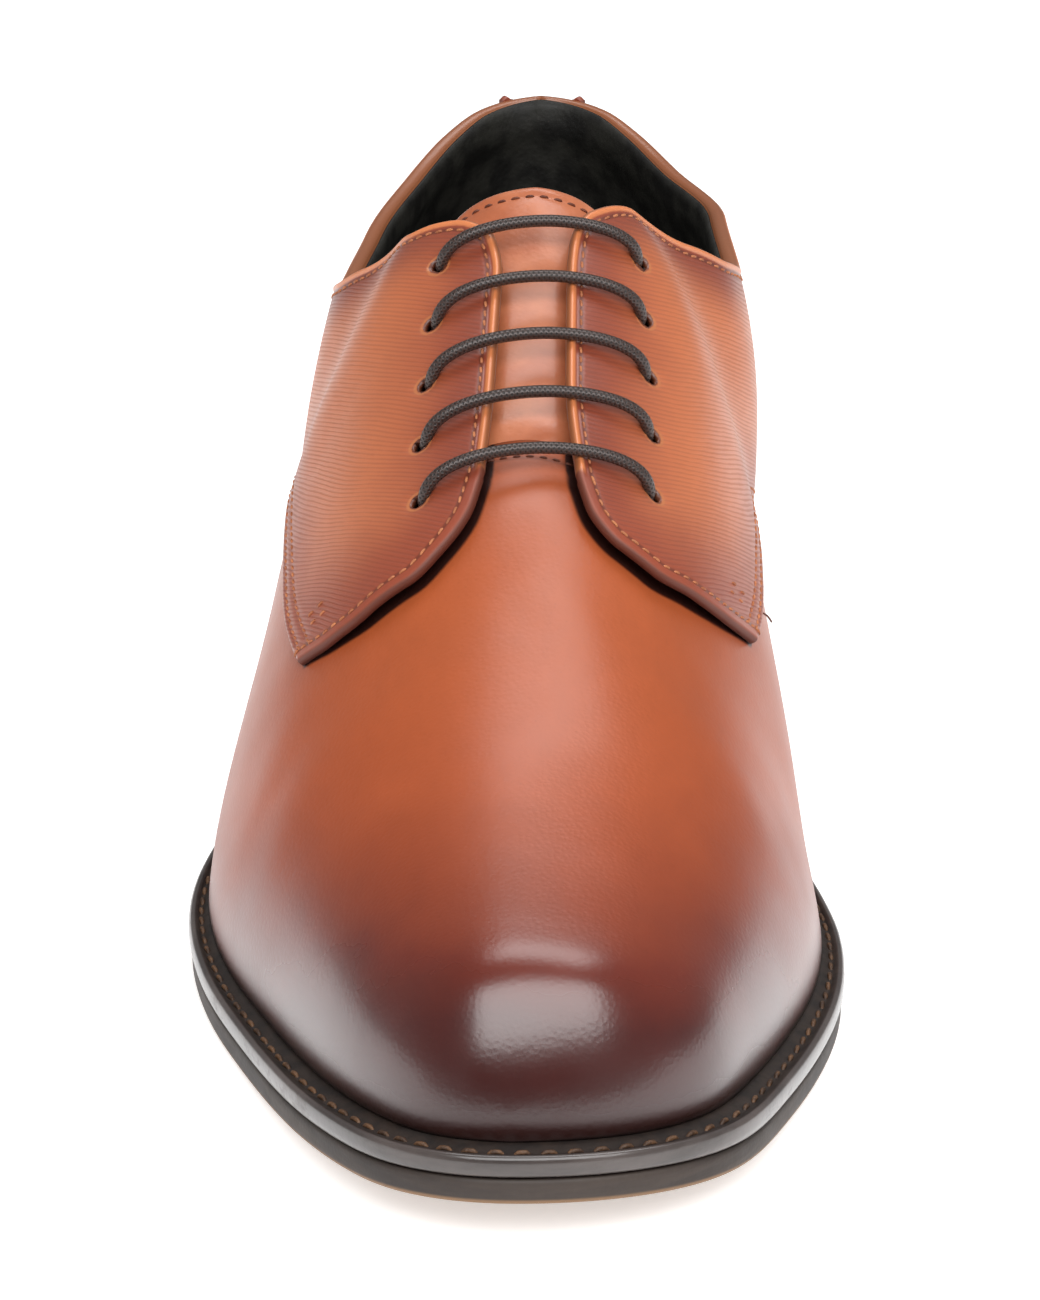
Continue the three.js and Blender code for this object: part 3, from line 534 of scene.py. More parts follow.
class Value:
    """A shader socket whose operators add Math nodes."""

    def __init__(self, paint, socket):
        self.paint, self.socket = paint, socket

    def math(self, operation, *others):
        return self.paint.node("ShaderNodeMath", {"operation": operation}, [self, *others])

    def __add__(self, other):
        return self.math("ADD", other)

    __radd__ = __add__

    def __sub__(self, other):
        return self.math("SUBTRACT", other)

    def __rsub__(self, other):
        return self.paint.node("ShaderNodeMath", {"operation": "SUBTRACT"}, [other, self])

    def __mul__(self, other):
        return self.math("MULTIPLY", other)

    __rmul__ = __mul__

    def least(self, other):
        return self.math("MINIMUM", other)

    def wave(self, pitch):
        """A wave from 0 to 1 with one crest each pitch."""
        return (self * (2 * math.pi / pitch)).math("SINE") * 0.5 + 0.5

    def rise(self, low, high):
        """0 at low, 1 at high, soft between."""
        settings = {"interpolation_type": "SMOOTHSTEP"}
        return self.paint.node("ShaderNodeMapRange", settings, [self, low, high, 0.0, 1.0])


class Paint:
    """One procedural material: a Principled shader and the nodes that feed it."""

    def __init__(self, name, **constants):
        self.material = bpy.data.materials.new(name)
        self.material.use_nodes = True
        self.tree = self.material.node_tree
        self.tree.nodes.clear()
        self.shader = self.tree.nodes.new("ShaderNodeBsdfPrincipled")
        output = self.tree.nodes.new("ShaderNodeOutputMaterial")
        self.tree.links.new(self.shader.outputs[0], output.inputs[0])
        for socket, value in constants.items():
            self.shader.inputs[socket.replace("_", " ")].default_value = value
        self.object_space = self.node("ShaderNodeTexCoord", {}, [], "Object")

    def feed(self, socket, value):
        if isinstance(value, Value):
            self.tree.links.new(value.socket, socket)
        elif value is not None:
            socket.default_value = value

    def node(self, kind, settings, inputs=(), output=0):
        """A node with its settings made first, then its sockets, by place or by name."""
        made = self.tree.nodes.new(kind)
        for name, value in settings.items():
            if name == "stops":
                while len(made.color_ramp.elements) < len(value):
                    made.color_ramp.elements.new(0.5)
                for stop, (place, colour) in zip(made.color_ramp.elements, value):
                    stop.position, stop.color = place, (*colour, 1)
            else:
                setattr(made, name, value)
        pairs = inputs.items() if isinstance(inputs, dict) else enumerate(inputs)
        for name, value in pairs:
            self.feed(made.inputs[name], value)
        return Value(self, made.outputs[output])

    def place(self):
        """The object's own x, y and z in millimetres."""
        big = self.node("ShaderNodeVectorMath", {"operation": "SCALE"}, {0: self.object_space, 3: 1000.0})
        return [self.node("ShaderNodeSeparateXYZ", {}, [big], n) for n in range(3)]

    def mark(self, name):
        return self.node("ShaderNodeAttribute", {"attribute_name": name}, [], "Fac")

    def noise(self, size, detail=3.0, rough=0.5, stretch=(1, 1, 1)):
        """Noise with features of about that size in millimetres, drawn out along the axes."""
        scaled = tuple(1.0 / s for s in stretch)
        where = self.node("ShaderNodeVectorMath", {"operation": "MULTIPLY"}, [self.object_space, scaled])
        inputs = {"Vector": where, "Scale": 1000.0 / size, "Detail": detail, "Roughness": rough}
        return self.node("ShaderNodeTexNoise", {}, inputs, 0)

    def cells(self, size, feature="F1"):
        inputs = {"Vector": self.object_space, "Scale": 1000.0 / size}
        return self.node("ShaderNodeTexVoronoi", {"feature": feature}, inputs, "Distance")

    def ramp(self, value, stops):
        return self.node("ShaderNodeValToRGB", {"stops": stops}, [value])

    def mix(self, factor, first, second, how="MIX"):
        settings = {"data_type": "RGBA", "blend_type": how}
        first, second = [(*c, 1) if isinstance(c, tuple) and len(c) == 3 else c for c in (first, second)]
        return self.node("ShaderNodeMix", settings, {0: factor, 6: first, 7: second}, 2)

    def mottle(self, first, second, *noise):
        """Two colours in soft patches of noise."""
        return self.mix(self.noise(*noise).rise(0.3, 0.7), first, second)

    def shade(self, colour, amount):
        """The colour made darker or lighter by a value near 1."""
        return self.mix(1.0, colour, amount, "MULTIPLY")

    def bump(self, height, depth, under=None):
        """Relief of that depth in millimetres."""
        inputs = {"Height": height, "Distance": depth * MM, "Strength": 1.0, "Normal": under}
        return self.node("ShaderNodeBump", {}, inputs)

    def finish(self, colour, roughness=None, normal=None, coat=None):
        for name, value in (("Base Color", colour), ("Roughness", roughness), ("Normal", normal),
                            ("Coat Weight", coat)):
            self.feed(self.shader.inputs[name], value)
        return self.material


def tone(red, green, blue):
    """A colour as the eye reads it, 0 to 255, as linear light."""
    shares = [c / 255 for c in (red, green, blue)]
    return tuple(s / 12.92 if s < 0.04045 else ((s + 0.055) / 1.055) ** 2.4 for s in shares)


def grain(paint, fine=0.9, depth=0.05):
    """Soft pebbled grain of calf: rounded cells, broken up by noise."""
    pebble = paint.cells(fine).rise(0.0, 0.75)
    return paint.bump(pebble * 0.5 + paint.noise(fine * 0.5, 2.0) * 0.35 + paint.noise(fine * 7) * 0.9, depth)


def climb(paint):
    """How far a place lies up and back along the shoe, in millimetres, and its own x."""
    x, y, z = paint.place()
    return (y + SOLE_LENGTH / 2) * 0.36 + z * 0.93, x


def vamp_leather():
    """Calf burnished dark over the toe; darker where it meets the welt, partly burnish and partly painted
    shade in the groove there; a near-black painted shadow under the edges of the quarters and just beyond
    them.
    """
    paint = Paint("vamp_leather", Specular_IOR_Level=0.45, IOR=1.5, Coat_Roughness=0.30, Coat_IOR=1.6)
    level, _ = climb(paint)
    cloud = paint.noise(34, 2.0)
    level = level + cloud * 14 - 7 + paint.noise(9, 3.0) * 3 - 1.5
    colour = paint.ramp((level - 20) * 0.01, [
        (0.00, tone(50, 11, 8)), (0.14, tone(66, 17, 11)), (0.24, tone(98, 33, 18)),
        (0.36, tone(134, 57, 28)), (0.50, tone(156, 72, 36)), (0.80, tone(164, 80, 42)),
        (1.00, tone(160, 78, 42)),
    ])
    streaks = paint.noise(3.2, 4.0, 0.6, (1.0, 2.5, 1.0))
    colour = paint.shade(colour, streaks * 0.16 + cloud * 0.16 + 0.84)
    pores = paint.cells(1.3).rise(0.0, 0.22)
    colour = paint.shade(colour, pores * 0.10 + 0.90)
    gap = paint.mark("welt_gap")
    # darker towards the welt: burnish, with painted shade in the groove where the vamp meets the welt
    colour = paint.mix(gap.rise(0.0, 3.5), tone(34, 12, 9), colour)
    colour = paint.shade(colour, paint.mark("seam").rise(0.0, 1.3) * 0.6 + 0.4)
    # painted shadow: near-black on the vamp under the quarters' front edges and facings, fading out about 1
    # mm beyond them
    colour = paint.mix((paint.mark("lap") + cloud * 0.5 - 0.25).rise(0.0, 0.9), tone(34, 13, 9), colour)
    top = level.rise(30.0, 62.0)
    rough = paint.noise(12, 3.0) * 0.12 + 0.17 + (1 - gap.rise(0.0, 9.0)) * 0.1 + top * 0.15
    return paint.finish(colour, rough, grain(paint, 0.9, 0.035), 0.75 - top * 0.6)


def quarter_leather():
    """Burnished towards the facings and edges; fine scored lines; a folded bead on facing and collar; painted
    shade along the very edges and in the eyelet holes.
    """
    paint = Paint("quarter_leather", Specular_IOR_Level=0.6, IOR=1.55, Coat_Roughness=0.3, Coat_IOR=1.6)
    level, x = climb(paint)
    rim, front, low, eye = (paint.mark(name) for name in ("rim", "front", "low", "eye"))
    near = rim.least(front)
    cloud = paint.noise(30, 2.0)
    facing = front.least(paint.mark("facing"))
    colour = paint.mix((facing + cloud * 14 - 7).rise(1.0, 30.0), tone(142, 64, 40), tone(192, 108, 66))
    colour = paint.mix((rim + cloud * 10 - 5).rise(1.5, 13.0), tone(132, 60, 40), colour)
    colour = paint.mix((low + cloud * 8 - 4).rise(0.0, 16.0), tone(150, 72, 46), colour)
    warp = paint.noise(46, 1.0) * 7.0 + paint.noise(5.0, 2.0, 0.5, (3.0, 3.0, 1.0)) * 0.5
    lines = (level + warp + (x * 0.16)).wave(SCORE_PITCH)
    cut = (lines + paint.noise(1.6, 2.0, 0.5, (3, 3, 1)) * 0.9 + paint.noise(16.0, 2.0) * 0.6).rise(1.0, 1.75)
    cut = cut * near.rise(2.6, 3.6)
    colour = paint.shade(colour, 1.0 - cut * 0.17)
    bead = (1 - near.rise(1.2, 1.7)) * (front - rim).rise(-0.3, 0.6)
    colour = paint.mix(bead, colour, paint.shade(tone(206, 122, 74), cloud * 0.3 + 0.85))
    raw = (1 - front.rise(0.3, 1.0)) * (1 - bead)
    colour = paint.mix(raw, colour, tone(146, 66, 38))
    # painted shade: a dark line along the rim and front edge, standing for the shadow between the bead and
    # the tongue
    colour = paint.shade(colour, near.rise(0.1, 0.8) * 0.6 + 0.4)
    groove = (near - STITCH_IN).math("ABSOLUTE").rise(0.1, 0.7) * 0.45 + 0.55
    colour = paint.shade(colour, groove)
    rim_of_hole = (eye - 0.5).math("ABSOLUTE").rise(0.1, 0.45)
    colour = paint.mix(rim_of_hole, tone(176, 104, 62), colour)
    # painted shade: the walls of the eyelet holes and their very rims darkened
    colour = paint.shade(colour, eye.rise(-0.1, 0.35) * 0.65 + 0.35)
    normal = paint.bump(paint.noise(0.8) * 0.4 + paint.cells(1.0).rise(0.0, 0.7) * 0.4, 0.025)
    normal = paint.bump(1.0 - cut, 0.035, normal)
    rough = cut * 0.12 + paint.noise(9) * 0.12 + 0.33 + raw * 0.25
    return paint.finish(colour, rough, normal, 0.15 - raw * 0.15)


def tongue_leather():
    """Smooth calf in two close browns."""
    paint = Paint("tongue_leather", Specular_IOR_Level=0.5, Coat_Roughness=0.2)
    colour = paint.mottle(tone(168, 92, 58), tone(196, 120, 82), 14, 3.0)
    colour = paint.shade(colour, paint.noise(1.6, 3.0) * 0.18 + 0.9)
    rough = paint.noise(7) * 0.12 + 0.33
    return paint.finish(colour, rough, grain(paint, 0.9, 0.04), paint.noise(18) * 0.1 + 0.22)


def lining_leather():
    """Nearly black lining, dull."""
    paint = Paint("lining_leather", Specular_IOR_Level=0.35)
    colour = paint.mix(paint.noise(6, 4.0).rise(0.35, 0.65), tone(16, 15, 13), tone(34, 33, 29))
    return paint.finish(colour, paint.noise(3) * 0.2 + 0.48, grain(paint, 1.1, 0.08))


def thread_paint(name, first, second):
    """Sewing thread: two close tones and a fine twist."""
    paint = Paint(name, Roughness=0.6)
    colour = paint.mix(paint.noise(2.0).rise(0.35, 0.65), first, second)
    twist = (paint.noise(0.35, 1.0)).rise(0.3, 0.7)
    return paint.finish(colour, None, paint.bump(twist, 0.05))


def lace_braid():
    """Waxed round braid: two sets of strands wound opposite ways."""
    paint = Paint("lace_braid", Specular_IOR_Level=0.55, Coat_Roughness=0.3)
    along, right, up = (paint.mark(name) for name in ("along", "spin_x", "spin_y"))
    angle = paint.node("ShaderNodeMath", {"operation": "ARCTAN2"}, [up, right])
    one = ((angle * 0.9549) + along * 1.15).wave(1.0).rise(0.1, 0.9)
    other = ((angle * 0.9549) - along * 1.15).wave(1.0).rise(0.1, 0.9)
    strands = one.math("MAXIMUM", other)
    colour = paint.mix(strands, tone(22, 15, 13), tone(58, 43, 38))
    colour = paint.shade(colour, paint.noise(4.0) * 0.4 + 0.8)
    return paint.finish(colour, 0.5 - strands * 0.14, paint.bump(strands, 0.10), strands * 0.2)


def welt_edge():
    """Stained welt: glossy on its side, matt on its deck, lightly scuffed."""
    paint = Paint("welt_edge", Specular_IOR_Level=0.5, Coat_Roughness=0.1)
    top = paint.mark("top")
    edge_tone = paint.mottle(tone(58, 51, 49), tone(80, 71, 68), 8, 3.0, 0.6, (3, 3, 0.6))
    edge_tone = paint.shade(edge_tone, paint.noise(0.8, 2.0) * 0.2 + 0.9)
    deck = paint.mottle(tone(26, 18, 15), tone(44, 33, 27), 3, 3.0)
    colour = paint.mix(top.rise(0.35, 0.6), edge_tone, deck)
    scuffs = paint.noise(5, 4.0, 0.7, (2, 2, 1)).rise(0.52, 0.7)
    rough = scuffs * 0.2 + top.rise(0.3, 0.7) * 0.3 + 0.3
    relief = paint.bump(paint.noise(1.4, 3.0) * 0.6 + scuffs * 0.5, 0.05)
    return paint.finish(colour, rough, relief, 0.5 - top.rise(0.3, 0.6) * 0.45)


def sole_edge():
    """Stained sole edge, tan along its foot."""
    paint = Paint("sole_edge", Specular_IOR_Level=0.4)
    bands = paint.noise(6, 4.0, 0.6, (5, 5, 0.5)).rise(0.3, 0.7)
    colour = paint.mix(bands, tone(48, 41, 38), tone(64, 54, 48))
    colour = paint.shade(colour, paint.noise(0.9, 2.0) * 0.24 + 0.88)
    colour = paint.mix(paint.mark("height").rise(0.12, 0.26), tone(128, 98, 70), colour)
    return paint.finish(colour, paint.noise(4) * 0.15 + 0.5, paint.bump(paint.noise(0.7, 3.0) + bands, 0.05))


def heel_layers():
    """Stacked lifts, each a thin line lower than its faces."""
    paint = Paint("heel_layers", Specular_IOR_Level=0.5, Coat_Roughness=0.12)
    height = paint.place()[2] - HEEL_FOOT
    line = height.wave(LIFT_PITCH).rise(0.0, 0.06)
    fibre = paint.noise(3, 4.0, 0.6, (6, 6, 0.35)).rise(0.3, 0.7)
    colour = paint.mix(fibre, tone(46, 38, 36), tone(66, 56, 52))
    colour = paint.shade(colour, line * 0.4 + 0.6)
    relief = paint.bump(line + fibre * 0.15, 0.1)
    return paint.finish(colour, fibre * 0.1 + 0.26, relief, line * 0.35 + 0.1)


def rubber():
    """Dark, dull rubber of the wearing piece."""
    paint = Paint("top_lift_rubber", Specular_IOR_Level=0.4)
    colour = paint.mottle(tone(50, 45, 43), tone(68, 61, 58), 5, 4.0)
    return paint.finish(colour, paint.noise(3) * 0.15 + 0.55, paint.bump(paint.noise(0.5, 2.0), 0.05))


# details of the upper and welt: turns and shares first, then millimetres
THROAT_TURN = float(turn_of(THROAT_AT))
THROAT_SEAM = 0.0065
VAMP_END = 0.735
SPLIT = 0.70
SOFT_RAMP = 0.30
SEAM_SPAN = (0.02, 0.66)
STRIP_HALF, STRIP_FLARE = 0.045, 0.020
GROOVE_AT = 0.44
STITCH_IN = 2.4
SEAM_ROWS = (1.6, 4.0)
HOLE_REACH = 12
SCORE_PITCH = 0.78
EYELET_RADIUS = 0.36 * EYELET_DIAMETER
TOE_PUFF = 1.1
GAPE = 0.3
GROOVE_IN = 0.7
# round figures in mm that make distances of shares: along a rib, round the heel, up the back strip
RIB_LONG = 95
HEEL_ROUND = 118
STRIP_LONG = 82
# where a loose thread end leaves the inner quarter's corner, in mm
LOOSE_END = np.array([40.9, -13.6, 52.2])
# stitches: pitch, length, radius, how far they stand up, slant
SEWN = {
    "facing": (2.3, 1.75, 0.25, 0.06, 0.12),
    "vamp": (2.2, 1.7, 0.25, 0.05),
    "tongue": (2.4, 1.8, 0.26, 0.05),
    "welt": (4.1, 2.9, 0.42, 0.12, 0.1),
}


def seam_share(side, turn):
    """Share of the quarter's lower seam over a turn, 1 ahead of its corner."""
    along = np.linspace(0, 1, 200)
    prefix = "inner" if side > 0 else "outer"
    turns, shares = seam_at[prefix + "_turn"](along), seam_at[prefix + "_share"](along)
    return np.interp(turn, turns, shares)


def fold_depth(a, v):
    """How far the vamp sinks in its soft troughs: a bell across each, easing off at both ends."""
    turn, side = side_of(a)
    share = share_of(turn)
    sink = np.zeros(np.broadcast(a, v).shape)
    for where, at, height, slant, length, width, depth in FOLDS:
        along = (v - height) * RIB_LONG
        across = (share - at) * SOLE_LENGTH - along * math.tan(math.radians(slant))
        trough = bell(across, 0, width) - 0.45 * bell(np.abs(across), 2 * width, width)
        sink = sink + (side == where) * depth * trough * bell(along, 0, length) ** 2
    return sink


def wall(turn_end, top_of, outer_off, inner_off, columns, low_rows, high_rows):
    """The upper's wall to one turn on both sides: closed over the ridge ahead of the throat, open behind it.

    A row is a share of each rib; behind the throat the rows above the split are left out and the rest
    reach up to top_of(side, turn).
    """
    half = np.concatenate([np.linspace(0, THROAT_TURN, columns), THROAT_TURN + 0.002
                           + np.linspace(0, 1, columns) * (turn_end - THROAT_TURN - 0.002)])
    whole = turn_end >= 1
    turns = np.concatenate([half, (2 - half[::-1])[1:-1]] if whole else [-half[::-1], half[1:]])
    rows = np.concatenate([np.linspace(0, SPLIT, low_rows), np.linspace(SPLIT, 1, high_rows)[1:]])
    a, v = np.meshgrid(turns, rows, indexing="ij")
    turn, side = side_of(a)
    behind = turn > THROAT_TURN + 1e-6
    top = by_side(side, top_of(1, turn), top_of(-1, turn))
    v = np.where(behind, np.minimum(v, SPLIT) / SPLIT * top, v)
    place = np.where((v >= 1) & (side < 0), turn, a)
    outer = skin(place, v, outer_off(place, v))
    inner = skin(place, v, inner_off(place, v))
    faces = quads(len(turns), len(rows), ring=whole)
    column_of, row_of = faces[:, 0] // len(rows), faces[:, 0] % len(rows)
    next_column = faces[:, 1] // len(rows)
    gone = (behind[column_of, 0] | behind[next_column, 0]) & (row_of >= low_rows - 1)
    return outer, inner, faces[~gone], a, v


def under_quarter(points, a, v):
    """Distance of points of the vamp from the quarters' front edges and facings, below 0 beneath them."""
    turn, side = side_of(a)
    up = np.linspace(0, 1, 120)
    made = np.full(points.shape[:-1], 60.0)
    for sign, prefix in ((1, "inner"), (-1, "outer")):
        turns, shares = front_at[prefix + "_turn"](up), front_at[prefix + "_share"](up)
        facing = np.linspace(RIM["turn"][0], THROAT_TURN + 0.01, 30)
        turns, shares = np.append(turns, facing), np.append(shares, rim_share[sign](facing))
        away = distance_to(points, skin(around(sign, turns), shares, 0.0))
        ahead = np.interp(v, shares[:120], turns[:120])
        beneath = (side == sign) & (v < rim_share[sign](np.maximum(turn, facing[0])))
        beneath &= np.where(v > shares[0], turn > ahead, (turn > turns[0]) & (v > seam_share(sign, turn)))
        made = np.minimum(made, np.where(beneath, -away, away))
    return made


def vamp_piece(leather):
    """The vamp: the front of the wall, back to a lap under the quarters; its rear edge is skived.

    The toe puff raises the top of the toe by a soft bell round the turn 0.142.
    """

    def top_of(side, turn):
        lap = seam_share(side, turn) + 0.10
        ease = smooth((turn - THROAT_TURN) / 0.03)
        return np.minimum(np.interp(turn, [THROAT_TURN, 0.49], [SPLIT, 0.60]), SPLIT + (lap - SPLIT) * ease)

    def thinned(a, v):
        turn, _ = side_of(a)
        puff = TOE_PUFF * bell(turn, 0.142, 0.042) * smooth((v - 0.35) / 0.5)
        back = smooth((turn - THROAT_TURN + 0.020) / 0.020) * smooth((v - 0.78) / 0.1)
        return puff - fold_depth(a, v) - 0.75 * back - 0.25 * bell(v, 0, 0.012)

    outer, inner, faces, a, v_of = wall(VAMP_END, top_of, thinned, lambda a, v: thinned(a, v) - VAMP_THICK,
                                        190, 70, 34)
    gap = distance_to(outer, feather(np.linspace(-0.75, 0.75, 400)))
    edge_turn = THROAT_TURN - THROAT_SEAM
    v = np.linspace(0.80, 1.2, 60)
    row = skin(edge_turn, v, thinned(np.full(60, edge_turn), np.minimum(v, 2 - v)))
    seam = distance_to(outer, row)
    # lap: distance from the quarters' edges, used to paint the shadow under and beside them
    lap = under_quarter(outer, a, v_of)
    marks = {"welt_gap": gap, "seam": seam, "lap": lap}
    sheet("vamp", outer, inner, faces, leather, "upper", ["upper"], marks)
    return row, normal_at(edge_turn, v)


def lining_piece(leather):
    """The lining: the inner layer of the wall, softly padded along the collar."""

    def top_of(side, turn):
        window = EYELET_SHARE[side] - FLAP_MARGIN + (turn > 0.57)
        return np.minimum(rim_share[side](turn) - 0.003, window)

    def top_here(a):
        turn, side = side_of(a)
        return np.where(turn > THROAT_TURN, by_side(side, top_of(1, turn), top_of(-1, turn)), 1.0)

    def puff(a, v):
        drop = (top_here(a) - v) * RIB_LONG
        turn, _ = side_of(a)
        collar = smooth((turn - 0.53) / 0.04)
        return 0.7 * bell(drop, 7, 5) * collar - 0.55 * bell(drop, 0, 0.8) * collar

    outer, inner, faces, _, _ = wall(1.0, top_of, lambda a, v: -VAMP_THICK - 0.02 + 0 * a,
                                     lambda a, v: -WALL_THICK - puff(a, v), 110, 60, 20)
    sheet("lining", outer, inner, faces, leather, "lining")


def flap_at(turn, side, v):
    """1 on the flap of a facing, 0 off it, with a long soft ramp beside the eyelets."""
    share = by_side(side, EYELET_SHARE[1], EYELET_SHARE[-1])
    settle = 1 - smooth((turn - 0.537) / 0.025)
    rise = np.clip((v - (share - FLAP_MARGIN - SOFT_RAMP)) / SOFT_RAMP, 0, 1)
    return settle * rise**3 * (10 - 15 * rise + 6 * rise**2)


def quarter_place(side, along, up):
    """Turn and share of a point of a quarter: a patch between its seam, rim, front edge and heel."""
    prefix = "inner" if side > 0 else "outer"
    names = (prefix + "_turn", prefix + "_share")
    rim_turn = seam_at["rim"](along)
    high = (rim_turn, rim_share[side](rim_turn))
    made = []
    for n, name in enumerate(names):
        low, fore = seam_at[name](along), front_at[name](up)
        low_fore, low_aft = seam_at[name](0.0), seam_at[name](1.0)
        high_fore = (seam_at["rim"](0.0), rim_share[side](seam_at["rim"](0.0)))[n]
        high_aft = (1.0, rim_share[side](1.0))[n]
        aft = (1.0 + 0 * up, low_aft + up * (high_aft - low_aft))[n]
        ruled = (1 - up) * low + up * high[n] + (1 - along) * fore + along * aft
        corners = (1 - along) * ((1 - up) * low_fore + up * high_fore)
        made.append(ruled - corners - along * ((1 - up) * low_aft + up * high_aft))
    return made


def crossing(points, normals, field, level):
    """Where a field first reaches a level along the first axis: the places and normals, one a row."""
    past = field >= level
    k = np.argmax(past, axis=0)
    j = np.arange(field.shape[1])
    good = past.any(axis=0) & (k > 0)
    k, j = k[good], j[good]
    share = ((level - field[k - 1, j]) / (field[k, j] - field[k - 1, j]))[:, None]
    mix = [v[k - 1, j] + share * (v[k, j] - v[k - 1, j]) for v in (points, normals)]
    return mix[0], unit(mix[1]), j


def quarter_rows(along, face, near, low, edges):
    """Rows of stitches on a quarter: one inside its front edge and rim, two over its lower seam."""
    upward = [grid.swapaxes(0, 1) for grid in face]
    downward = [grid[:, ::-1].swapaxes(0, 1) for grid in face]
    found = crossing(*face, near, STITCH_IN), crossing(*downward, near[:, ::-1].T, STITCH_IN)
    inside = []
    for (places, tilts, _), line in zip(found, edges):
        keep = distance_to(places, line) < STITCH_IN + 0.5
        inside.append((places[keep], tilts[keep]))
    rows = [tuple(np.concatenate(parts) for parts in zip(*inside))]
    for level in SEAM_ROWS:
        places, tilts, at = crossing(*upward, low.T, level)
        keep = (along[at] > SEAM_SPAN[0]) & (along[at] < SEAM_SPAN[1])
        rows.append((places[keep], tilts[keep]))
    return rows


def from_holes(side, base):
    """Distance of points from the axes of a quarter's eyelets, and the way out from the nearest one."""
    turns = np.array(EYELETS[side])
    lift = QUARTER_THICK + FLAP_LIFT * flap_at(turns, side, EYELET_SHARE[side])
    centres = skin(around(side, turns), EYELET_SHARE[side], lift)
    axes = normal_at(around(side, turns), EYELET_SHARE[side])
    away = base[..., None, :] - centres
    flat = away - (away * axes).sum(-1, keepdims=True) * axes
    gaps = np.linalg.norm(flat, axis=-1)
    gaps = np.where(np.linalg.norm(away, axis=-1) < HOLE_REACH, gaps, HOLE_REACH)
    k = gaps.argmin(-1)[..., None, None].repeat(3, -1)
    return gaps, unit(np.take_along_axis(flat, k, axis=-2)[..., 0, :])


def quarter_piece(side, leather):
    """A quarter with its facing: thick folded edges, flap over the tongue, punched eyelets, embossed face."""
    along = np.concatenate([np.linspace(0, 1, 14) ** 1.4 * 0.03, np.linspace(0.03, 0.25, 72)[1:],
                            np.linspace(0.25, 1, 110)[1:]])
    up = spread_rows(104, 12, 0.05)
    l, u = np.meshgrid(along, up, indexing="ij")
    turn, share = quarter_place(side, l, u)
    a = around(side, turn)
    flap = flap_at(turn, side, share)

    def surface(l, u, off=QUARTER_THICK):
        t, s = quarter_place(side, l, u)
        return skin(around(side, t), s, off + FLAP_LIFT * flap_at(t, side, s))

    fine = np.linspace(0, 1, 500)
    base = skin(a, share, QUARTER_THICK + FLAP_LIFT * flap)
    rim_line = surface(fine, np.ones(500))
    front_line = surface(np.zeros(500), fine)
    low_line = surface(fine, np.zeros(500))
    facing_line = surface(np.linspace(0, 0.22, 200), np.ones(200))
    rim, front = distance_to(base, rim_line), distance_to(base, front_line)
    low, facing = distance_to(base, low_line), distance_to(base, facing_line)
    near = np.minimum(rim, front)
    gaps, way_out = from_holes(side, base)
    eye = gaps.min(-1)

    round_off = rounded(np.minimum(near, low), 0.75)
    bead = smooth(0.5 + front - rim) * (0.28 * bell(near, 0.8, 0.5) - 0.15 * bell(near, 1.6, 0.3))
    bead = bead - 0.08 * bell(near, STITCH_IN, 0.45)
    seam_dip = -0.16 * sum(bell(low, row, 0.5) for row in SEAM_ROWS)
    gape = GAPE * bell(front, 0, 6.5) * smooth(u / 0.25 + 0.35)
    dent = -0.35 * bell(eye, EYELET_RADIUS, 1.3) * (eye < 9)
    outer_off = QUARTER_THICK + FLAP_LIFT * flap + bead + seam_dip * (near > 4) - round_off + dent + gape
    hollow = smooth((np.minimum(low, front) - 12) / 4)
    inner_off = FLAP_LIFT * flap + gape + (0.03 - hollow * (VAMP_THICK + 0.03)) * (1 - flap)
    inner_off = inner_off + np.minimum(round_off, 0.35) * (rim < 1.5)
    normals = normal_at(a, share)
    outer, inner = skin(a, share, outer_off), skin(a, share, inner_off)

    faces = quads(len(along), len(up))
    inside = (gaps < EYELET_RADIUS).reshape(-1, gaps.shape[-1])
    faces = faces[~inside[faces].all(axis=1).any(axis=1)]
    shift = way_out * np.maximum(EYELET_RADIUS - np.maximum(eye, 1e-6), 0)[..., None]
    outer, inner = outer + shift, inner + shift
    if side < 0:
        faces = faces[:, ::-1]
    marks = {"rim": rim, "front": front, "low": low, "facing": facing, "eye": eye - EYELET_RADIUS}
    sheet("quarter_inner" if side > 0 else "quarter_outer", outer, inner, faces, leather, marks=marks)

    rows = quarter_rows(along, (outer, normals), near, low, (front_line, rim_line))
    corner = [surface(np.full(2, at), np.array([0.10, 0.19]), QUARTER_THICK + 0.1) for at in (0.062, 0.082)]
    tilt = np.tile(normals[20, 20], (2, 1))
    return rows + [(line, tilt) for line in corner]


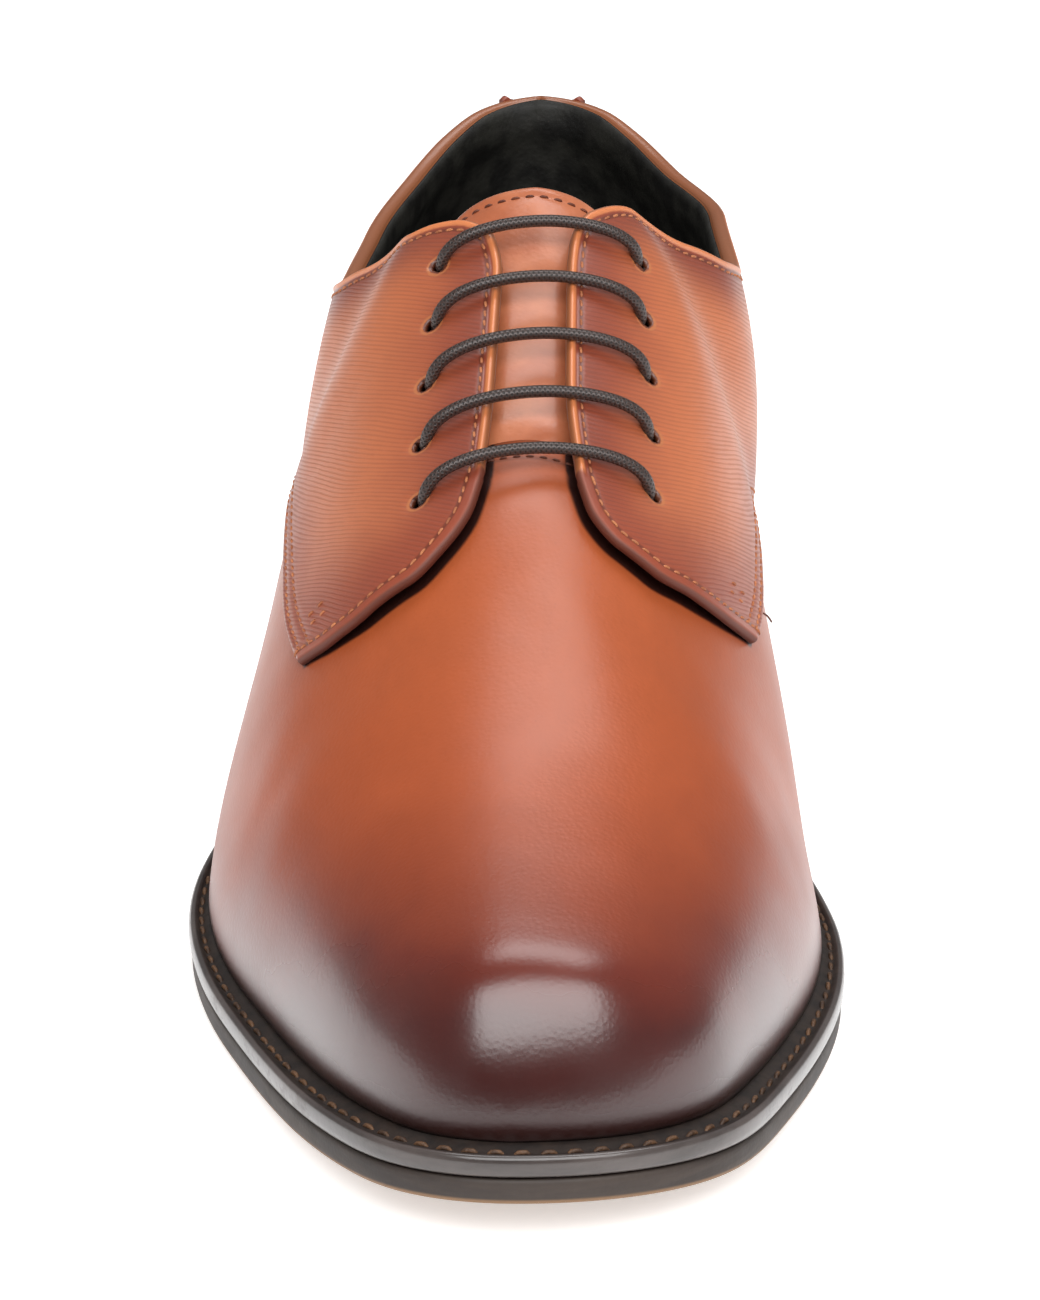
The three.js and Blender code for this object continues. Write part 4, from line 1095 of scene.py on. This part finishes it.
def strip_piece(leather):
    """The back strip: a band up the heel, wider at the collar, its rounded top stopping just under the
    collar's edge.
    """
    w = np.concatenate([np.linspace(0, 0.94, 60), np.linspace(0.94, 1, 12)[1:]])
    u = spread_rows(22, 6, 0.10)
    uu, ww = np.meshgrid(u, w, indexing="ij")
    half = STRIP_HALF + STRIP_FLARE * ww
    a = 1 + half * (2 * uu - 1)
    side_gap = np.minimum(uu, 1 - uu) * 2 * half * HEEL_ROUND
    v = ww * (rim_share[1](1.0) - 0.016 + 0.014 * bell(side_gap, 1.1, 0.8))
    top_gap = (1 - ww) * STRIP_LONG
    round_off = rounded(np.minimum(side_gap, top_gap + 0.15), 0.6)
    raise_edge = 0.22 * bell(side_gap, 1.1, 0.7) - 0.22 * bell(side_gap, STITCH_IN, 0.45)
    outer = skin(a, v, QUARTER_THICK + STRIP_THICK - round_off + raise_edge)
    inner = skin(a, v, QUARTER_THICK - 0.25 + 0 * a)
    marks = {"rim": top_gap + 2.0, "front": side_gap, "low": v * 90, "facing": side_gap + 30,
             "eye": 9 + 0 * v}
    sheet("back_strip", outer, inner, quads(len(u), len(w)), leather, marks=marks)
    rows = []
    w = np.linspace(0.01, 0.985, 90)
    for sign in (-1, 1):
        a = 1 + sign * (STRIP_HALF + STRIP_FLARE * w - STITCH_IN / HEEL_ROUND)
        face = skin(a, w * rim_share[1](1.0), QUARTER_THICK + STRIP_THICK - 0.1)
        rows.append((face, normal_at(a, w * 0.87)))
    return rows


def tongue_piece(leather):
    """The tongue: one slip under the facings, dipping under the vamp, its top edge rounded and stitched."""
    u = spread_rows(70, 10, 0.05)
    w = spread_rows(50, 10, 0.06)

    def surface(uu, ww, extra):
        across = 2 * ww - 1
        spread = np.abs(across)
        wrap = (TONGUE_WRAP * spread**2 - TONGUE_ROUND * spread**8) * uu**6
        turn = tongue_at["turn"](uu) + wrap
        share = 1 - spread * (1 - tongue_at["edge"](uu))
        off = TONGUE_DROP + (VAMP_UNDER - TONGUE_DROP) * tongue_at["drop"](uu) + extra
        a = np.where(across > 0, 2 - turn, turn)
        return skin(a, share, -off), normal_at(a, share)

    uu, ww = np.meshgrid(u, w, indexing="ij")
    top_gap = (1 - uu) * TONGUE_LONG
    side_gap = np.minimum(ww, 1 - ww) * TONGUE_WIDE
    gap = np.minimum(top_gap, side_gap)
    round_off = rounded(gap, 0.8)
    dip = 0.18 * bell(top_gap, TONGUE_STITCH, 0.5) - 0.12 * bell(top_gap, 1.2, 0.8)
    outer, _ = surface(uu, ww, round_off + dip)
    inner, _ = surface(uu, ww, TONGUE_THICK - np.minimum(round_off, 0.5))
    sheet("tongue_leather", outer, inner, quads(len(u), len(w)), leather, "upper", ["tongue"])
    return surface(np.full(120, 1 - TONGUE_STITCH / TONGUE_LONG), np.linspace(0.05, 0.95, 120), 0.1)


def turn_across(guess, share, reach):
    """The turn at which the last has a given distance from toe to heel, at one share of its ribs."""
    turn = guess
    for _ in range(5):
        here = last_point(2 - turn, share)[..., 1]
        slope = (last_point(2 - turn - 1e-3, share)[..., 1] - here) / 1e-3
        turn = turn - (here - reach) / slope
    return turn


def lace_piece(paint):
    """One lace: five bars straight over the facings, and runs under them on alternate sides.

    A bar's height over the last is a flat-topped arch, (1 - |x|^8) to the power 0.5, so that it drops
    straight into its eyelets; 4 x^2 (1 - x^2) - 0.6 (1 - x^2)^2 pulls it taut between the facings.
    """
    path = []
    for n in range(5):
        leftward = n % 2 == 0
        ends = [(EYELETS[side][n], 2 - EYELET_SHARE[side] if side > 0 else EYELET_SHARE[side])
                for side in ((1, -1) if leftward else (-1, 1))]
        x = -np.cos(np.linspace(0, np.pi, 61))
        u = (x + 1) / 2
        share = ends[0][1] + (ends[1][1] - ends[0][1]) * u
        start, end = (float(last_point(2 - turn, at)[1]) for turn, at in ends)
        guess = ends[0][0] + (ends[1][0] - ends[0][0]) * u
        turn = turn_across(guess, share, start + (end - start) * u)
        arch = np.sqrt(np.maximum(1 - np.abs(x) ** 8, 0))
        low = np.full(61, LACE_UNDER)
        if n == 4:
            low[31:] = FLAP_LIFT - 0.4
        taut = 4.0 * x**2 * (1 - x**2) - 0.6 * (1 - x**2) ** 2
        path.append(skin(2 - turn, share, low + (LACE_OVER + taut - low) * arch))
        if n < 4:
            side = -1 if leftward else 1
            here, there = EYELETS[side][n], EYELETS[side][n + 1]
            s = np.linspace(0, 1, 12)[1:-1]
            run = here + (there - here) * s
            sag = -0.25 * np.sin(np.pi * s)
            path.append(skin(around(side, run), EYELET_SHARE[side], LACE_UNDER + sag))
    path = np.concatenate(path)
    for _ in range(3):
        path[1:-1] = 0.25 * path[:-2] + 0.5 * path[1:-1] + 0.25 * path[2:]
    points, faces, marks = tube(path, LACE_DIAMETER / 2, 14)
    piece("braided_lace", points, faces, paint, "lace", ["lace"], marks)


def welt_piece(paint):
    """The welt: a band round the sole with a lip, a stitching groove and an inner rise to the upper."""
    columns = 420
    a = 2 * np.arange(columns) / columns
    reach = margin_of(a)
    bottom, high = WELT_LOW, WELT_HIGH
    profile = [
        (1, WALL_THICK, bottom, 0), (0, 0.9, bottom, 0), (0, 0.35, bottom + 0.25, 0),
        (0, 0.08, bottom + 0.8, 0), (0, 0.0, bottom + 1.6, 0), (0, 0.02, high - 1.3, 0),
        (0, 0.10, high - 0.7, 0), (0, 0.32, high - 0.28, 0.1), (0, 0.62, high - 0.08, 0.2),
        (0, 0.95, high, 0.4), (0.04, 1.15, high - 0.05, 0.7), (0.14, 1.15, high - 0.35, 1),
        (0.28, 0.95, high - 0.62, 1), (GROOVE_AT, GROOVE_IN, high - 0.66, 1), (0.60, 0.45, high - 0.45, 1),
        (0.78, 0.25, high - 0.12, 1), (1, -0.2, high + 0.12, 1), (1, 0.7, high + 0.2, 1),
        (1, WALL_THICK, high + 0.2, 1),
    ]
    rings = [edge(a, share * reach + inset, height) for share, inset, height, _ in profile]
    points = np.stack(rings, 1)
    faces = quads(columns, len(profile), ring=True)
    close = np.arange(columns)
    last, first = close * len(profile) + len(profile) - 1, close * len(profile)
    ahead = np.roll(close, -1)
    closing = np.stack([last, ahead * len(profile) + len(profile) - 1, ahead * len(profile), first], 1)
    marks = {"top": np.tile([row[3] for row in profile], columns).astype(float)}
    faces = np.concatenate([faces, closing])
    piece("stitched_welt", points.reshape(-1, 3), faces, paint, "welt", ["welt"], marks)
    fine = np.linspace(0, 2, 1600)
    inset = GROOVE_AT * margin_of(fine) + GROOVE_IN
    row = edge(fine, inset, high - 0.5)
    tilt = edge(fine, inset, high) - edge(fine, inset + 1, high)
    return row, unit(np.cross(np.gradient(row, axis=0), -tilt))


def plank(profile, columns, rows, turn_from=0.0, hollow=0.0, spread=1.0):
    """Grids of a sole part, one a level: across from side to side, from a turn to the heel."""
    u, w = np.meshgrid(np.linspace(0, 1, columns), np.linspace(0, 1, rows), indexing="ij")
    levels = []
    for inset, height, advance in profile:
        start = turn_from + advance
        turn = start + (1 - start) * u**spread
        outer, inner = edge(2 - turn, inset, 0), edge(turn, inset, 0)
        point = outer + (inner - outer) * (1 - w)[..., None]
        point[..., 1] += hollow * (1 - u) ** 2 * (1 - (2 * w - 1) ** 2)
        point[..., 2] = height(point[..., 1] / SOLE_LENGTH + 0.5)
        levels.append(point)
    return levels


def over(height):
    return lambda share: underside(share) + height


def sole_piece(paint):
    """The outsole: the same outline all through, with softened edges and a fine line round its foot."""
    t = OUTSOLE_THICK
    profile = [(1.6, 0), (1.0, 0.03), (0.68, 0.10), (0.52, 0.20), (0.46, 0.45), (0.5, 0.70), (0.58, 0.84),
               (0.8, 0.95), (1.1, 1.0)]
    levels = plank([(inset, over(share * t), 0.0) for inset, share in profile], 300, 9)
    marks = {"height": np.repeat([share for _, share in profile], levels[0].shape[0] * levels[0].shape[1])}
    return piece("leather_sole", *stack(levels), paint, "outsole", ["outsole"], marks)


BREAST_TURN = float(turn_of(0.735))
BREAST_HOLLOW = 4.5


def heel_piece(paint):
    """The stacked heel: its side narrows a little towards the floor, its breast is hollowed."""
    softened = [(0, 0.35), (0.03, 0.08), (0.08, 0), (0.3, 0), (0.6, 0), (0.92, 0), (0.97, 0.08), (1, 0.3)]
    levels = [(2.0 - 0.8 * share + soft,
               lambda s, k=share: HEEL_FOOT + (underside(s) - CLEARANCE - HEEL_FOOT) * k,
               0.006 * (1 - share)) for share, soft in softened]
    grids = plank(levels, 110, 24, BREAST_TURN, BREAST_HOLLOW)
    return piece("layered_heel", *stack(grids), paint, "welt", ["heel_stack"])


def top_lift_piece(paint):
    """The wearing piece: level, with softened edges."""
    profile = [(2.6, 0, 0.010), (2.25, 0.03, 0.009), (2.05, 0.08, 0.008), (2.0, 0.15, 0.008),
               (2.0, 0.9, 0.006), (2.08, 0.96, 0.006), (2.3, 1.0, 0.007)]
    levels = [(inset, lambda s, k=share: k * TOP_LIFT_THICK + 0 * s, advance)
              for inset, share, advance in profile]
    grids = plank(levels, 110, 24, BREAST_TURN, BREAST_HOLLOW)
    return piece("heel_wearing_piece", *stack(grids), paint, "outsole", ["heel_top_lift"])


# the camera, in metres, millimetres of lens and degrees
CAMERA_PLACE = (0.02702, -1.0687, 0.447)
CAMERA_LENS = 183.2
CAMERA_TILT = 69.15
CAMERA_SWING = 1.46
# soft boxes: name, place and aim, size, power, whether they show in the gloss
BOXES = [
    ("overhead_box", (0.14, 0.46, 1.45), (0, -0.02, 0.05), (1.15, 0.62), 10.0, True),
    ("front_box", (0.12, -0.92, 0.86), (0.01, -0.14, 0.03), (1.55, 0.85), 20.0, True),
    ("left_box", (-1.5, 0.0, 0.85), (0, 0, 0.05), (1.0, 0.9), 4.0, False),
    ("right_box", (1.5, 0.0, 0.85), (0, 0, 0.05), (1.0, 0.9), 4.0, False),
]


def flat(name, material, corners):
    """A four-cornered stage surface."""
    mesh = bpy.data.meshes.new(name)
    mesh.from_pydata(corners, [], [(0, 1, 2, 3)])
    mesh.materials.append(material)
    made = bpy.data.objects.new(name, mesh)
    bpy.context.scene.collection.objects.link(made)
    return made


def studio():
    """Camera at the photograph's angle, pale floor, dark card and curtain, soft boxes, pale surroundings."""
    scene = bpy.context.scene
    data = bpy.data.cameras.new("camera")
    data.sensor_fit = "VERTICAL"
    data.sensor_height = 36.0
    data.lens = CAMERA_LENS
    data.clip_end = 50
    camera = bpy.data.objects.new("camera", data)
    camera.location = CAMERA_PLACE
    camera.rotation_euler = (math.radians(CAMERA_TILT), 0, math.radians(CAMERA_SWING))
    scene.collection.objects.link(camera)
    scene.camera = camera
    pale = Paint("pale_floor", Roughness=0.7, Specular_IOR_Level=0.2, Base_Color=(0.86, 0.86, 0.86, 1),
                 Emission_Color=(1, 1, 1, 1), Emission_Strength=0.50).material
    black = Paint("dark_card", Roughness=0.9, Base_Color=(0.02, 0.015, 0.012, 1)).material
    floor = flat("floor", pale, [(-6, -6, 0), (6, -6, 0), (6, 6, 0), (-6, 6, 0)])
    card = flat("dark_card", black, [(-0.5, -1, 0.0006), (0.5, -1, 0.0006), (0.5, -0.23, 0.0006),
                                     (-0.5, -0.23, 0.0006)])
    curtain = flat("dark_curtain", black, [(-0.95, -1.7, 0), (0.85, -1.7, 0), (0.85, -1.7, 1.8),
                                           (-0.95, -1.7, 1.8)])
    world = bpy.data.worlds.new("studio")
    world.use_nodes = True
    world.node_tree.nodes["Background"].inputs["Color"].default_value = (1, 1, 1, 1)
    world.node_tree.nodes["Background"].inputs["Strength"].default_value = 0.22
    scene.world = world
    scene.view_settings.view_transform = "Standard"
    for name, place, aim, size, power, seen in BOXES:
        light = bpy.data.lights.new(name, "AREA")
        light.shape = "RECTANGLE"
        light.size, light.size_y = size
        light.energy = power
        lamp = bpy.data.objects.new(name, light)
        lamp.location = place
        away = unit(np.subtract(place, aim))
        lamp.rotation_euler = (math.acos(away[2]), 0, math.atan2(away[0], -away[1]))
        lamp.visible_glossy = seen
        lamp.visible_camera = False
        scene.collection.objects.link(lamp)


def dress():
    """All the visible pieces, and the insole's own mesh in lining leather."""
    tan = quarter_leather()
    brown_thread = thread_paint("brown_thread", tone(150, 86, 52), tone(186, 116, 74))
    seam_thread = thread_paint("seam_thread", tone(80, 34, 20), tone(110, 56, 34))
    welt_thread = thread_paint("welt_thread", tone(58, 38, 24), tone(100, 70, 46))
    black = lining_leather()

    lace_piece(lace_braid())
    vamp_row = vamp_piece(vamp_leather())
    lining_piece(black)
    tongue_row = tongue_piece(tongue_leather())
    facing_rows = quarter_piece(1, tan) + quarter_piece(-1, tan) + strip_piece(tan)
    welt_row = welt_piece(welt_edge())
    sole_piece(sole_edge())
    heel_piece(heel_layers())
    top_lift_piece(rubber())

    sewn = [thread(*row, *SEWN["facing"]) for row in facing_rows]
    piece("quarter_stitches", *joined(sewn), brown_thread, "upper")
    sewn = [thread(*vamp_row, *SEWN["vamp"]), thread(*tongue_row, *SEWN["tongue"])]
    piece("tongue_stitches", *joined(sewn), seam_thread, "upper")
    piece("welt_stitches", *thread(*welt_row, *SEWN["welt"]), welt_thread, "welt")

    s = np.linspace(0, 1, 12)
    tail = LOOSE_END + np.stack([2.1 * s**0.7, -1.2 * s, -1.9 * s**1.6 + 0.5 * s], -1)
    piece("loose_thread", *tube(tail, 0.16, 8)[:2], seam_thread, "upper")

    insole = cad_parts["insole"]
    insole.data.materials.clear()
    insole.data.materials.append(black)


studio()
dress()
